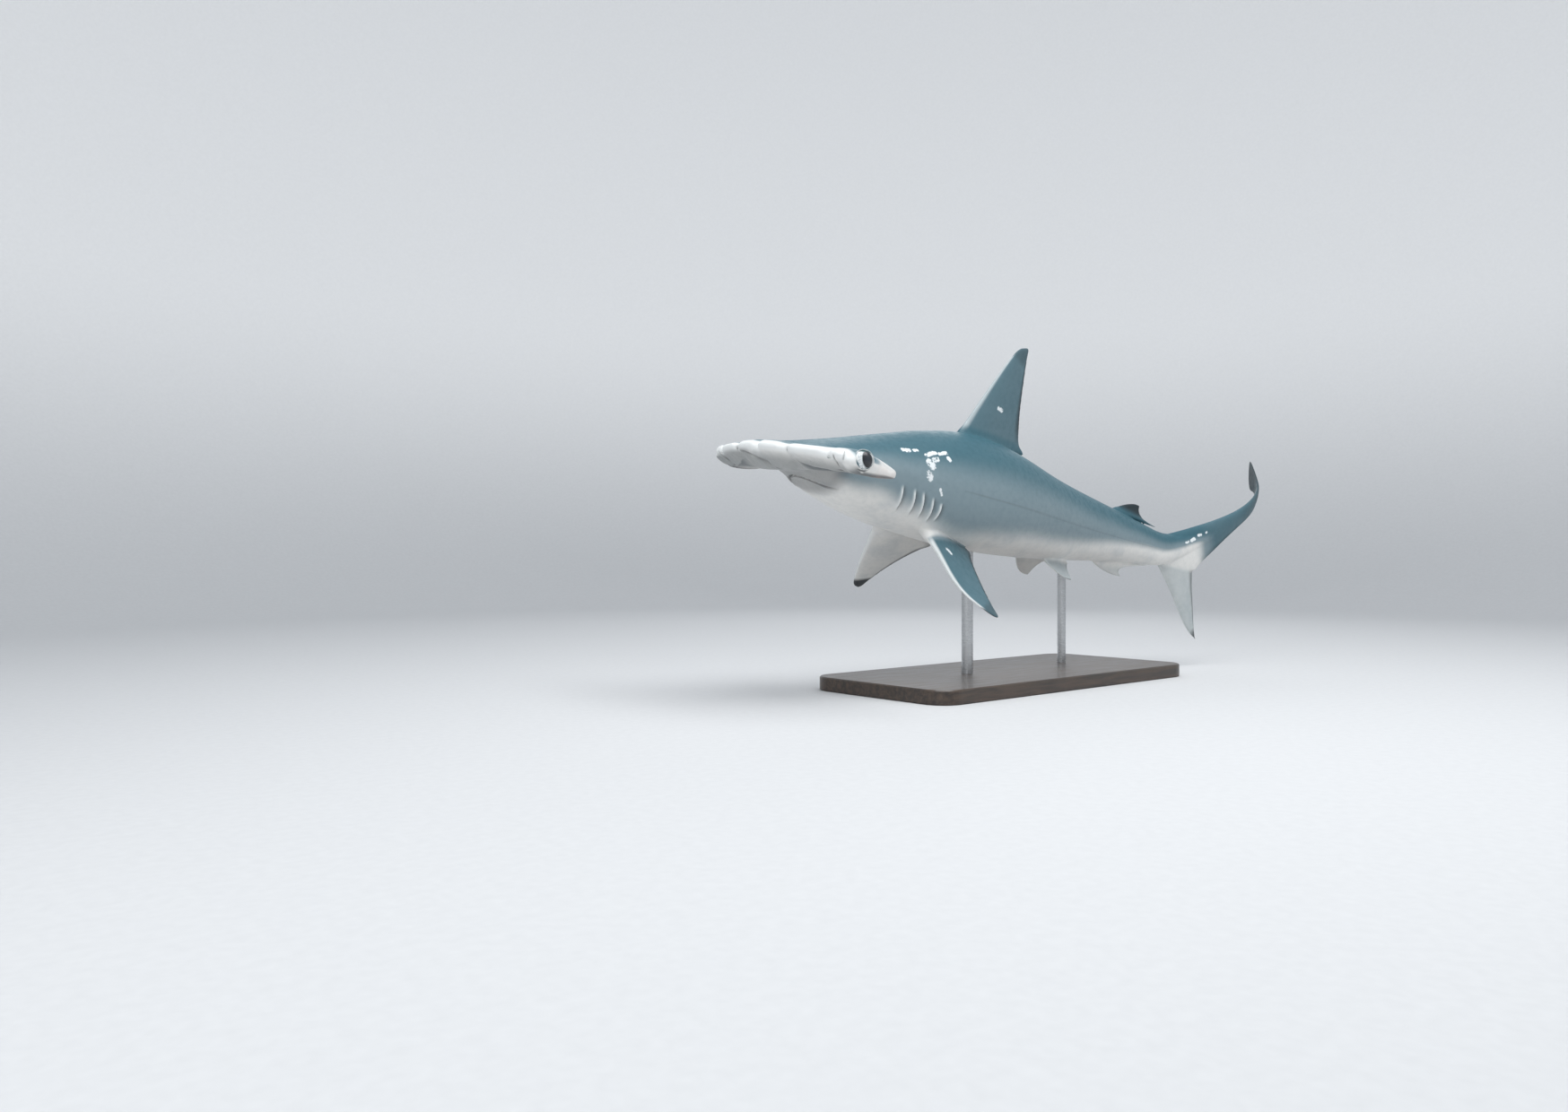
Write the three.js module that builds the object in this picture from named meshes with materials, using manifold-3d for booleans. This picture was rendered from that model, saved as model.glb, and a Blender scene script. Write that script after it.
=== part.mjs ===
// Scalloped hammerhead shark, life size, posed as it swims, on a plain display stand.
// The animal is drawn straight, nose at the origin and tail along -X, then bent and tilted.
// Tables hold shares of the total length; s is the distance back from the nose.
import * as THREE from 'three';
import Module from 'manifold-3d';
import { mergeVertices } from 'three/addons/utils/BufferGeometryUtils.js';

const wasm = await Module();
wasm.setup();

// Driving sizes in millimetres
const TOTAL_LENGTH = 2200;
const PART_GAP = 0.3;
const HEAD_SPAN = 602;
const EYE_RADIUS = 21;
const TRAILING_EDGE = 2.4;

// How the swimming animal is held
const PITCH_DEG = 8.6;
const BANK_DEG = 8.1;
const PIVOT_S = 0.4;
const PIVOT_HEIGHT = 470;

// Display stand
const BASE_LENGTH = 1050;
const BASE_WIDTH = 460;
const BASE_THICK = 36;
const BASE_CORNER = 60;
const BASE_BEVEL = 3;
const ROD_RADIUS = { front: 15, rear: 12 };
const ROD_S = { front: 0.325, rear: 0.525 };

// Body profile: s, top, bottom, half width, rise of the middle
const BODY = [
  [0.008, 0.003, 0.007, 0.022, 0],
  [0.020, 0.006, 0.014, 0.040, 0],
  [0.050, 0.013, 0.0215, 0.054, 0],
  [0.090, 0.024, 0.039, 0.055, 0],
  [0.130, 0.036, 0.050, 0.054, 0],
  [0.170, 0.048, 0.056, 0.055, 0],
  [0.215, 0.0605, 0.0595, 0.058, 0],
  [0.280, 0.0725, 0.062, 0.061, 0],
  [0.360, 0.0715, 0.060, 0.060, 0],
  [0.470, 0.056, 0.051, 0.050, 0],
  [0.600, 0.040, 0.034, 0.032, 0],
  [0.660, 0.030, 0.026, 0.023, 0],
  [0.700, 0.024, 0.0225, 0.0165, 0],
  [0.725, 0.020, 0.021, 0.0125, 0.007],
  [0.755, 0.015, 0.018, 0.0085, 0.021],
  [0.790, 0.009, 0.012, 0.0045, 0.041],
  [0.805, 0.006, 0.008, 0.003, 0.050],
];
const TOP_POWER = 2.0;
const BOTTOM_POWER = 2.35;
// Left half of a body ring, in degrees above the side
const RING_ANGLES = [90, 75, 60, 45, 30, 15, 3, -8, -17, -25, -33, -41, -49, -58, -68, -79, -90];
// Rings before and behind the gills: s and how full the section is
const RINGS_FRONT = [
  [0.008, 0], [0.010, 0.5], [0.016, 0.82], [0.030, 0.97], [0.050, 1], [0.072, 1],
  [0.095, 1], [0.115, 1], [0.132, 1], [0.142, 1],
];
const RINGS_REAR = [
  [0.226, 1], [0.238, 1], [0.256, 1], [0.280, 1], [0.305, 1], [0.335, 1], [0.370, 1], [0.405, 1],
  [0.440, 1], [0.475, 1], [0.510, 1], [0.545, 1], [0.580, 1], [0.610, 1], [0.640, 1],
  [0.665, 1], [0.685, 1], [0.700, 1], [0.715, 1], [0.735, 1], [0.760, 1], [0.785, 1], [0.800, 0.6],
  [0.803, 0],
];
// Rings of the body without gills, between the two
const RINGS_PLAIN = [0.156, 0.170, 0.184, 0.198, 0.212];

// Gill slits, five a side
const GILLS = [
  { s: 0.1617, mid: -0.0243, reach: 0.0135, lean: -0.14 },
  { s: 0.1795, mid: -0.0253, reach: 0.0140, lean: -0.18 },
  { s: 0.1925, mid: -0.0262, reach: 0.0140, lean: -0.24 },
  { s: 0.2065, mid: -0.0290, reach: 0.0135, lean: -0.18 },
  { s: 0.2178, mid: -0.0290, reach: 0.0102, lean: -0.05 },
];
// One flap: millimetres behind the slit and lift off the skin
const GILL_STEPS = [[-7, 2.5], [2.5, 5.5], [-0.5, -4.5], [4.5, -1.5]];

// Where the body is parted
const CUTS = { neck: 0.142, torso: 0.228, rear: 0.46, stem: 0.6, caudal: 0.704 };

// Blade of the head, by share of the half span
const BLADE_ARCH = 0.030;
const BLADE_REAR = 0.088;
const BLADE_REAR_TIP = 0.0885;
const BLADE_NOTCHES = [[0, 0.030, 0.0060], [0.36, 0.045, 0.0035], [0.775, 0.030, 0.0055]];
// Share, height above and depth below the middle, droop of the rear edge
const BLADE_THICK = [
  [0, 20, 42, 0], [0.2, 18, 42, 0], [0.4, 15, 38, 2], [0.6, 15, 33, 5], [0.75, 17, 28, 7],
  [0.88, 20, 25, 11], [1, 20, 23, 14],
];
const BLADE_DROP = 6;
const BLADE_TIP_DROP = 8;
const BLADE_EDGE = { middle: 5, tip: 9 };
// Share of the depth below at the front edge, and the chord share where it is whole
const BLADE_KEEL = { by: 0.5, to: 0.38 };
const BLADE_STATIONS = [
  0, 0.035, 0.09, 0.17, 0.25, 0.31, 0.36, 0.41, 0.49, 0.57, 0.65, 0.71, 0.745, 0.775, 0.805,
  0.84, 0.89, 0.93, 0.96, 0.98, 0.993, 1,
];
const BLADE_CHORD = [0, 0.02, 0.08, 0.2, 0.38, 0.6, 0.82, 0.95, 1];
const BLADE_BLUNT = 0.1;

// Eye, at the end of the blade
const EYE_S = 0.0445;
const EYE_INSET = 9;
const EYE_TOE = 0.32;
const EYE_HEIGHT = -13;
const MOUND = { radii: [36, 30, 24], inset: 25, height: -17 };
const LID = { radius: 19.5, tube: 4.2, out: 8.5 };
const SOCKET = { radius: 18, depth: 60 };

// Mouth, seen from below
const MOUTH = { front: 0.0555, corner: 0.088, half: 0.037, rear: 0.122, roof: -20 };
const LIP_RADIUS = 4.6;
const LIP_SINK = 1.6;
const LIP_END = 0.93;

// Nostril slit
const NOSTRIL = { share: 0.785, length: 20, radius: 3.6, s: 0.0245, z: -19 };

// Fin outlines: height above the root line, leading edge s, trailing edge s
const FIRST_DORSAL = [
  [-0.030, 0.262, 0.366], [-0.008, 0.2715, 0.384], [-0.003, 0.2735, 0.4035], [0.001, 0.276, 0.4015],
  [0.008, 0.281, 0.3925], [0.021, 0.289, 0.387], [0.045, 0.303, 0.381], [0.070, 0.318, 0.377],
  [0.095, 0.334, 0.374], [0.110, 0.345, 0.3725], [0.118, 0.353, 0.3725], [0.1225, 0.361, 0.372],
  [0.124, 0.369, 0.370],
];
const SECOND_DORSAL = [
  [-0.014, 0.601, 0.640], [0, 0.605, 0.648], [0.0025, 0.608, 0.675], [0.0042, 0.610, 0.690],
  [0.0062, 0.614, 0.668], [0.010, 0.620, 0.657], [0.0145, 0.628, 0.652], [0.018, 0.636, 0.651],
  [0.0202, 0.643, 0.6505], [0.0210, 0.648, 0.649],
];
const ANAL = [
  [-0.014, 0.582, 0.643], [0, 0.587, 0.648], [0.0025, 0.591, 0.671], [0.0042, 0.593, 0.684],
  [0.0065, 0.597, 0.658], [0.010, 0.604, 0.642], [0.0135, 0.613, 0.639], [0.017, 0.624, 0.641],
  [0.0193, 0.635, 0.643], [0.0203, 0.643, 0.644],
];
const PECTORAL = [
  [-0.04, 0.2071, 0.2836], [0.0, 0.2131, 0.2789], [0.0082, 0.2164, 0.2943], [0.0153, 0.2188, 0.3034],
  [0.0259, 0.2237, 0.2963], [0.0471, 0.2325, 0.2881], [0.0706, 0.243, 0.2825], [0.0918, 0.254, 0.2798],
  [0.1059, 0.2625, 0.279], [0.113, 0.2685, 0.2785], [0.1153, 0.274, 0.2765],
];
const PELVIC = [
  [-0.020, 0.45, 0.5], [0, 0.456, 0.506], [0.0043, 0.4595, 0.5205], [0.008, 0.4625, 0.518],
  [0.015, 0.469, 0.513], [0.0224, 0.4775, 0.511], [0.0289, 0.4875, 0.511], [0.0325, 0.4965, 0.5105],
  [0.0343, 0.505, 0.509],
];
// Root lines: s, height and width where they start, lean towards the middle, climb, droop
const PECTORAL_ROOT = { s: 0.207, y: 0.0451, z: -0.0565, inward: 0.266, climb: 0.032 };
const PELVIC_ROOT = { s: 0.456, y: 0.0175, z: -0.045, inward: 0.05, climb: 0.02 };
const FIN_DROOP = {
  pectoral_fin: { left: 40.3, right: 42 },
  pelvic_fin: { left: 46, right: 57 },
};
// The left pectoral fin is turned nose down, ahead of this s, so much at its middle
const PECTORAL_TWIST = { left: 0.24, right: 0, s: 0.281 };
const LOWER_LOBE = [
  [-0.004, 0.688, 0.764], [0.01116, 0.6968, 0.766], [0.02418, 0.7102, 0.769], [0.04092, 0.7269, 0.773],
  [0.05766, 0.742, 0.7785], [0.0744, 0.7555, 0.784], [0.08742, 0.7665, 0.788], [0.09858, 0.7775, 0.792],
  [0.106, 0.7875, 0.795], [0.1102, 0.795, 0.7965], [0.1116, 0.8005, 0.797],
];
// Upper lobe along its own axis: distance, upper edge, lower edge, half thickness
const UPPER_LOBE = [
  [-0.010, 0.001, -0.001, 0.002], [-0.006, 0.012, -0.016, 0.0075], [0.010, 0.0165, -0.034, 0.0095],
  [0.025, 0.0145, -0.046, 0.0088], [0.049, 0.0115, -0.0505, 0.0075], [0.070, 0.0095, -0.042, 0.0062],
  [0.090, 0.0078, -0.0350, 0.0052], [0.115, 0.0065, -0.0265, 0.0044], [0.140, 0.0060, -0.0200, 0.0038],
  [0.165, 0.0062, -0.0165, 0.0033], [0.195, 0.0066, -0.0155, 0.0028], [0.222, 0.0066, -0.0175, 0.0024],
  [0.2315, 0.0064, -0.0110, 0.0022], [0.240, 0.0062, -0.0125, 0.0020], [0.255, 0.0056, -0.0185, 0.0018],
  [0.270, 0.0046, -0.0160, 0.0015], [0.283, 0.0032, -0.0100, 0.0012], [0.291, 0.0016, -0.0045, 0.0009],
  [0.295, 0, -0.0004, 0.0006],
];
const UPPER_LOBE_START = [0.700, 0];
const UPPER_LOBE_RISE = 30.6;
// The tip of the lobe lifts more: from this distance, by this factor
const UPPER_LOBE_CURL = { from: 0.14, by: 0.81 };

// The head banks less than the body: s and turn in degrees
const TWIST = [[0, 1.6], [0.1, 1.35], [0.2, 0.6], [0.3, 0], [1, 0]];

// How the swimming animal bends sideways: s and heading in degrees
const HEADING = [
  [0, 9.6], [0.10, 6.4], [0.20, 3.2], [0.30, 0], [0.38, -3.4], [0.45, -1.8], [0.53, 2.9],
  [0.62, 11], [0.70, 17.5], [0.75, 20], [0.79, 18.7], [0.83, 6.3], [0.87, -15.1], [0.91, -45.4],
  [1.0, -45.4],
];

const COLORS = {
  back: 0x5d7f8f, head: 0x6f8d99, jaw: 0xd9d4c8, fin: 0x56788a, pale: 0xc3ccce,
  eye: 0x0b1016, base: 0x33302c, rod: 0xb9bcbf,
};

// Small helpers
const L = TOTAL_LENGTH;
const rad = THREE.MathUtils.degToRad;
const clamp = THREE.MathUtils.clamp;

// Smooth curve through the rows of a table, read in one column
function curve(table, x, column) {
  const last = table.length - 1;
  if (x <= table[0][0]) {
    return table[0][column];
  }
  if (x >= table[last][0]) {
    return table[last][column];
  }
  let i = 0;
  while (x > table[i + 1][0]) {
    i += 1;
  }
  const slope = (k) => {
    const a = Math.max(k - 1, 0);
    const b = Math.min(k + 1, last);
    return (table[b][column] - table[a][column]) / (table[b][0] - table[a][0]);
  };
  const width = table[i + 1][0] - table[i][0];
  const t = (x - table[i][0]) / width;
  const t2 = t * t;
  const t3 = t2 * t;
  return (2 * t3 - 3 * t2 + 1) * table[i][column] + (t3 - 2 * t2 + t) * width * slope(i)
    + (3 * t2 - 2 * t3) * table[i + 1][column] + (t3 - t2) * width * slope(i + 1);
}

function signedPower(value, power) {
  return Math.sign(value) * Math.abs(value) ** power;
}

// Closed surface: at(u, row) gives a point, u runs round and row from end to end
function closedSurface(around, rows, at) {
  const shape = new THREE.SphereGeometry(1, around, rows);
  const { position, uv } = shape.attributes;
  for (let i = 0; i < position.count; i += 1) {
    const row = Math.round((1 - uv.getY(i)) * rows);
    const step = Math.round(uv.getX(i) * around) % around;
    const [x, y, z] = at(row === 0 || row === rows ? 0 : step, row);
    position.setXYZ(i, x, y, z);
  }
  return solid(shape);
}

// Solid from a closed geometry, with doubled corners joined
function solid(geometry) {
  const bare = new THREE.BufferGeometry();
  bare.setAttribute('position', geometry.attributes.position);
  bare.setIndex(geometry.index);
  const welded = mergeVertices(bare, 1e-4);
  const p = welded.attributes.position.array;
  const index = [];
  let volume = 0;
  for (let i = 0; i < welded.index.count; i += 3) {
    const [a, b, c] = [0, 1, 2].map((k) => welded.index.getX(i + k));
    if (a !== b && b !== c && c !== a) {
      index.push(a, b, c);
      const [v0, v1, v2] = [a, b, c].map((k) => new THREE.Vector3(p[3 * k], p[3 * k + 1], p[3 * k + 2]));
      volume += v0.dot(v1.cross(v2));
    }
  }
  if (volume < 0) {
    index.reverse();
  }
  return new wasm.Manifold(new wasm.Mesh({
    numProp: 3,
    vertProperties: new Float32Array(p),
    triVerts: new Uint32Array(index),
  }));
}

function box(low, high) {
  const size = high.map((v, i) => v - low[i]);
  const shape = new THREE.BoxGeometry(...size);
  shape.translate(...high.map((v, i) => (v + low[i]) / 2));
  return solid(shape);
}

// Slab of the straight animal between two distances from the nose
function slab(from, to) {
  return box([-to * L + PART_GAP / 2, -900, -900], [-from * L - PART_GAP / 2, 900, 900]);
}

function largest(shape) {
  const pieces = shape.decompose();
  return pieces.reduce((best, piece) => (piece.volume() > best.volume() ? piece : best));
}

// 0 to 1 with a soft start and end
function ease(value) {
  const x = clamp(value, 0, 1);
  return x * x * (3 - 2 * x);
}

// Half thickness of a fin section along its chord, as a share of its thickness
function foilAt(c) {
  return 5 * (0.2969 * Math.sqrt(c) - 0.126 * c - 0.3516 * c ** 2 + 0.2843 * c ** 3 - 0.1036 * c ** 4);
}

// Body
const ringAngles = [...RING_ANGLES, ...RING_ANGLES.slice(1, -1).reverse().map((a) => 180 - a)].map(rad);
const gillRings = GILLS.flatMap((gill) => GILL_STEPS.map(([back, lift]) => ({
  s: gill.s + back / L, full: 1, lift, gill,
})));
const ringsFront = RINGS_FRONT.map(([s, full]) => ({ s, full }));
const ringsRear = RINGS_REAR.map(([s, full]) => ({ s, full }));
const bodyRings = [...ringsFront, ...gillRings, ...ringsRear];
const plainRings = [...ringsFront, ...RINGS_PLAIN.map((s) => ({ s, full: 1 })), ...ringsRear];

function bodyPoint(s, angle, full, grow) {
  const c = Math.cos(angle);
  const q = Math.sin(angle);
  const power = 2 / (q >= 0 ? TOP_POWER : BOTTOM_POWER);
  const tall = curve(BODY, s, q >= 0 ? 1 : 2) * L * full + grow;
  const half = curve(BODY, s, 3) * L * full + grow;
  return [half * signedPower(c, power), tall * signedPower(q, power) + curve(BODY, s, 4) * L];
}

function bodySolid(grow, withGills = true) {
  const rings = withGills ? bodyRings : plainRings;
  return closedSurface(ringAngles.length, rings.length - 1, (step, row) => {
    const { s, full, lift = 0, gill } = rings[row];
    const angle = ringAngles[step];
    if (full === 0) {
      return [-s * L, 0, curve(BODY, s, 4) * L];
    }
    const [y, z] = bodyPoint(s, angle, full, grow);
    if (!gill) {
      return [-s * L, y, z];
    }
    const off = z / L - gill.mid;
    const fade = clamp(1.35 - Math.abs(off) / gill.reach, 0, 1);
    const level = lift * fade;
    const scale = 1 + level / Math.hypot(y, z);
    const back = (s - gill.s) * L * (fade > 0 ? 1 : 0.6) + gill.s * L;
    const lean = gill.lean * clamp(off, -1.35 * gill.reach, 1.35 * gill.reach) * L;
    return [-(back + lean), y * scale, z * scale];
  });
}

// Blade of the head
const halfSpan = HEAD_SPAN / 2;

function bladeFront(share) {
  const notch = BLADE_NOTCHES.reduce((sum, [at, width, depth]) => (
    sum + depth * Math.exp(-(((share - at) / width) ** 2))), 0);
  return BLADE_ARCH * share ** 1.9 + notch;
}

const bladeShares = [...BLADE_STATIONS.slice(1).reverse().map((v) => -v), ...BLADE_STATIONS];

function bladeSolid() {
  const chord = [...BLADE_CHORD, ...BLADE_CHORD.slice(1, -1).reverse()];
  return closedSurface(chord.length, bladeShares.length - 1, (step, row) => {
    const share = Math.abs(bladeShares[row]);
    const blunt = clamp((share - 1 + BLADE_BLUNT) / BLADE_BLUNT, 0, 1);
    const full = Math.sqrt(Math.max(0, 1 - blunt ** 2.6));
    const rear = BLADE_REAR + (BLADE_REAR_TIP - BLADE_REAR) * share ** 2;
    const front = bladeFront(share);
    const middle = front + (rear - front) * 0.5;
    const half = (rear - front) * 0.5 * (0.25 + 0.75 * full) * Math.min(1, full * 6);
    const c = chord[step];
    const foil = foilAt(c);
    const side = step < BLADE_CHORD.length ? 1 : -1;
    const keel = side > 0 ? 1 : BLADE_KEEL.by + (1 - BLADE_KEEL.by) * ease(c / BLADE_KEEL.to);
    const thick = curve(BLADE_THICK, share, side > 0 ? 1 : 2) * 2 * full * keel;
    const edge = (BLADE_EDGE.middle + (BLADE_EDGE.tip - BLADE_EDGE.middle) * share ** 2) * c * full;
    const droop = curve(BLADE_THICK, share, 3) * c;
    const level = -BLADE_DROP - BLADE_TIP_DROP * share ** 2;
    const z = (c === 0 || c === 1 ? 0 : side * (foil * thick + edge)) + level - droop;
    return [-(middle + half * (2 * c - 1)) * L, Math.sign(bladeShares[row]) * share * halfSpan, z];
  });
}

// Eye, its mound and its lid, on one side
function eyeFrame(side) {
  const out = new THREE.Vector3(Math.sin(EYE_TOE), side * Math.cos(EYE_TOE), 0);
  return { out, centre: new THREE.Vector3(-EYE_S * L, side * (halfSpan - EYE_INSET), EYE_HEIGHT) };
}

function eyeSolid(side, grow) {
  const { centre } = eyeFrame(side);
  const ball = new THREE.SphereGeometry(EYE_RADIUS + grow, 18, 12);
  ball.rotateX(side * Math.PI);
  ball.translate(centre.x, centre.y, centre.z);
  return solid(ball);
}

function moundSolid(side) {
  const mound = new THREE.SphereGeometry(1, 14, 8);
  mound.scale(...MOUND.radii);
  mound.translate(-EYE_S * L, side * (halfSpan - MOUND.inset), MOUND.height);
  return solid(mound);
}

function lidSolid(side) {
  const { out, centre } = eyeFrame(side);
  const ring = new THREE.TorusGeometry(LID.radius, LID.tube, 6, 20);
  ring.applyQuaternion(new THREE.Quaternion().setFromUnitVectors(new THREE.Vector3(0, 0, 1), out));
  const at = centre.clone().addScaledVector(out, LID.out);
  ring.translate(at.x, at.y, at.z);
  return solid(ring);
}

// Mouth: plan outline of the lower jaw, and the two lips beside the line of the mouth
function mouthArc(share, out) {
  const s = MOUTH.front + (MOUTH.corner - MOUTH.front) * Math.abs(share) ** 2.2;
  return [-s * L + out * (1 - Math.abs(share) * 0.5), share * MOUTH.half * L + out * share];
}

function jawTool(grow) {
  const outline = [];
  for (let i = -10; i <= 10; i += 1) {
    outline.push(new THREE.Vector2(...mouthArc(i / 10, grow)));
  }
  for (let i = 9; i > -10; i -= 1) {
    const y = (i / 10) * MOUTH.half * L;
    const s = MOUTH.corner + (MOUTH.rear - MOUTH.corner) * Math.sqrt(1 - (i / 10) ** 2);
    outline.push(new THREE.Vector2(-s * L - grow, y + grow * (i / 10)));
  }
  const prism = new THREE.ExtrudeGeometry(new THREE.Shape(outline), { depth: 200, bevelEnabled: false });
  prism.translate(0, 0, MOUTH.roof + grow - 200);
  return solid(prism);
}

function lipSolid(out) {
  const points = [];
  for (let i = -8; i <= 8; i += 1) {
    const [x, y] = mouthArc((i / 8) * LIP_END, out);
    const s = -x / L;
    const half = curve(BODY, s, 3) * L;
    const drop = curve(BODY, s, 2) * L;
    const z = -drop * (1 - Math.abs(y / half) ** BOTTOM_POWER) ** (1 / BOTTOM_POWER);
    points.push(new THREE.Vector3(x, y, z + LIP_SINK));
  }
  const path = new THREE.CatmullRomCurve3(points);
  return closedSurface(6, 18, (step, row) => {
    const t = row / 18;
    const at = path.getPoint(t);
    const along = path.getTangent(t);
    const wide = LIP_RADIUS * Math.sin(Math.PI * t) ** 0.35;
    const down = new THREE.Vector3(0, 0, 1);
    const side = new THREE.Vector3().crossVectors(along, down).normalize();
    const up = new THREE.Vector3().crossVectors(side, along).normalize();
    const angle = (step / 6) * 2 * Math.PI;
    at.addScaledVector(side, wide * Math.cos(angle)).addScaledVector(up, wide * Math.sin(angle));
    return [at.x, at.y, at.z];
  });
}

// Clear space in front of the eye, inside the lid
function socketSolid(side) {
  const { out, centre } = eyeFrame(side);
  const space = new THREE.CylinderGeometry(SOCKET.radius, SOCKET.radius, SOCKET.depth, 20);
  space.applyQuaternion(new THREE.Quaternion().setFromUnitVectors(new THREE.Vector3(0, 1, 0), out));
  const at = centre.clone().addScaledVector(out, LID.out + SOCKET.depth / 2);
  space.translate(at.x, at.y, at.z);
  return solid(space);
}

function nostrilSolid(side) {
  const slit = new THREE.CapsuleGeometry(NOSTRIL.radius, NOSTRIL.length, 4, 10);
  slit.rotateZ(side * -0.28);
  slit.translate(-NOSTRIL.s * L, side * NOSTRIL.share * halfSpan, NOSTRIL.z);
  return solid(slit);
}

// Fin: foil sections stacked from root to tip
const FIN_CHORD = [0, 0.03, 0.12, 0.28, 0.5, 0.74, 0.93, 1];

function finSolid(rows, { root, tip, flare, place, steps = 0 }, grow = 0) {
  const chord = [...FIN_CHORD, ...FIN_CHORD.slice(1, -1).reverse()];
  const heights = [rows[0][0] - 0.004, ...rows.map(([h]) => h)];
  const top = heights[heights.length - 1];
  const all = steps ? heights.flatMap((h, i) => (i && h > 0.02 && h < top * 0.9
    ? [(heights[i - 1] + h) / 2, h] : [h])) : heights;
  return closedSurface(chord.length, all.length - 1, (step, row) => {
    const h = all[row];
    const front = curve(rows, h, 1) - grow / L;
    const rear = curve(rows, h, 2) + grow / L;
    const closing = row === 0 || row === all.length - 1;
    const c = closing ? 0.5 : chord[step];
    const side = step < FIN_CHORD.length ? 1 : -1;
    const up = clamp(h / top, 0, 1);
    const thick = root + (tip - root) * up + flare * Math.exp(-Math.max(h, 0) * L / 14);
    const foil = foilAt(c);
    const flat = closing || c === 0 || c === 1 ? 0 : 1;
    const half = foil * thick + TRAILING_EDGE / 2 * c + grow;
    return place((front + (rear - front) * c) * L, h * L, side * flat * half);
  });
}

// Fin frames: s, height and thickness in millimetres to a point
const ridge = (s, z, slope, sign) => (along, up, aside) => {
  const back = along - s * L;
  return [-(along + sign * up * slope), aside, sign * (z * L + up) - slope * back];
};
const paired = (side, { s, y, z, inward, climb }, droop, twist, top) => (along, up, level) => {
  const [c, q] = [Math.cos(rad(droop)), Math.sin(rad(droop))];
  const back = along - s * L;
  const ahead = Math.max(PECTORAL_TWIST.s * L - along, 0);
  const aside = level - twist * ahead * Math.sin(Math.PI * clamp(up / top, 0, 1) ** 1.8);
  const wide = y * L - inward * back + up * c + aside * q;
  return [-along, side * wide, z * L + climb * back - up * q + aside * c];
};

function upperLobeSolid() {
  const rise = rad(UPPER_LOBE_RISE);
  const chord = [...FIN_CHORD, ...FIN_CHORD.slice(1, -1).reverse()];
  return closedSurface(chord.length, UPPER_LOBE.length - 1, (step, row) => {
    const [along, upper, lower, half] = UPPER_LOBE[row];
    const closing = row === 0 || row === UPPER_LOBE.length - 1;
    const c = closing ? 0.5 : chord[step];
    const side = step < FIN_CHORD.length ? 1 : -1;
    const foil = foilAt(c);
    const flat = closing || c === 0 || c === 1 ? 0 : 1;
    const off = upper + (lower - upper) * c;
    const s = UPPER_LOBE_START[0] + along * Math.cos(rise) - off * Math.sin(rise);
    const curl = UPPER_LOBE_CURL.by * Math.max(along - UPPER_LOBE_CURL.from, 0) ** 2;
    const z = UPPER_LOBE_START[1] + along * Math.sin(rise) + off * Math.cos(rise) + curl;
    return [-s * L, side * flat * (foil * 2 * half * L + TRAILING_EDGE / 2 * c), z * L];
  });
}

// Bend and tilt
const SPINE_STEPS = 500;
const spine = [{ x: 0, y: 0, turn: rad(curve(HEADING, 0, 1)) }];
for (let i = 1; i <= SPINE_STEPS; i += 1) {
  const before = spine[i - 1];
  const turn = rad(curve(HEADING, i / SPINE_STEPS, 1));
  const mid = (before.turn + turn) / 2;
  const step = L / SPINE_STEPS;
  spine.push({ x: before.x - Math.cos(mid) * step, y: before.y + Math.sin(mid) * step, turn });
}

function bent(x, y, z) {
  const at = clamp((-x / L) * SPINE_STEPS, 0, SPINE_STEPS - 1e-6);
  const i = Math.floor(at);
  const t = at - i;
  const mix = (key) => spine[i][key] * (1 - t) + spine[i + 1][key] * t;
  const turn = mix('turn');
  const ahead = Math.max(x, 0);
  const roll = rad(curve(TWIST, clamp(-x / L, 0, 1), 1));
  const wide = y * Math.cos(roll) - z * Math.sin(roll);
  const tall = y * Math.sin(roll) + z * Math.cos(roll);
  const point = new THREE.Vector3(mix('x') + Math.sin(turn) * wide, mix('y') + Math.cos(turn) * wide, tall);
  point.x += ahead * Math.cos(turn);
  point.y -= ahead * Math.sin(turn);
  return point;
}

const pivot = bent(-PIVOT_S * L, 0, 0);
const tilt = new THREE.Matrix4().makeRotationFromQuaternion(new THREE.Quaternion().setFromAxisAngle(
  new THREE.Vector3(-BANK_DEG, -PITCH_DEG, 0).normalize(),
  rad(Math.hypot(BANK_DEG, PITCH_DEG)),
));

function posed(x, y, z) {
  const point = bent(x, y, z).sub(pivot).applyMatrix4(tilt);
  point.z += PIVOT_HEIGHT;
  return point;
}

// Geometry of a finished solid, posed or as it stands
function geometryOf(shape, pose) {
  const { vertProperties, triVerts } = shape.getMesh();
  const corners = new Float32Array(vertProperties.length);
  for (let i = 0; i < vertProperties.length; i += 3) {
    const [x, y, z] = [vertProperties[i], vertProperties[i + 1], vertProperties[i + 2]];
    const point = pose ? posed(x, y, z) : new THREE.Vector3(x, y, z);
    corners.set([point.x, point.y, point.z], i);
  }
  const geometry = new THREE.BufferGeometry();
  geometry.setAttribute('position', new THREE.BufferAttribute(corners, 3));
  geometry.setIndex(new THREE.BufferAttribute(new Uint32Array(triVerts), 1));
  geometry.computeVertexNormals();
  return geometry;
}

const shark = new THREE.Group();
shark.name = 'hammerhead_shark';

function addNode(name, shape, color, { roughness = 0.5, metalness = 0, pose = true } = {}) {
  const material = new THREE.MeshStandardMaterial({ color, roughness, metalness });
  material.name = name;
  const mesh = new THREE.Mesh(geometryOf(shape, pose), material);
  mesh.name = name;
  shark.add(mesh);
}

// The body and head, parted
const body = bodySolid(0);
const smoothBody = bodySolid(0, false);
const grownBody = bodySolid(PART_GAP, false);
const sides = { left: 1, right: -1 };

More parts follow.
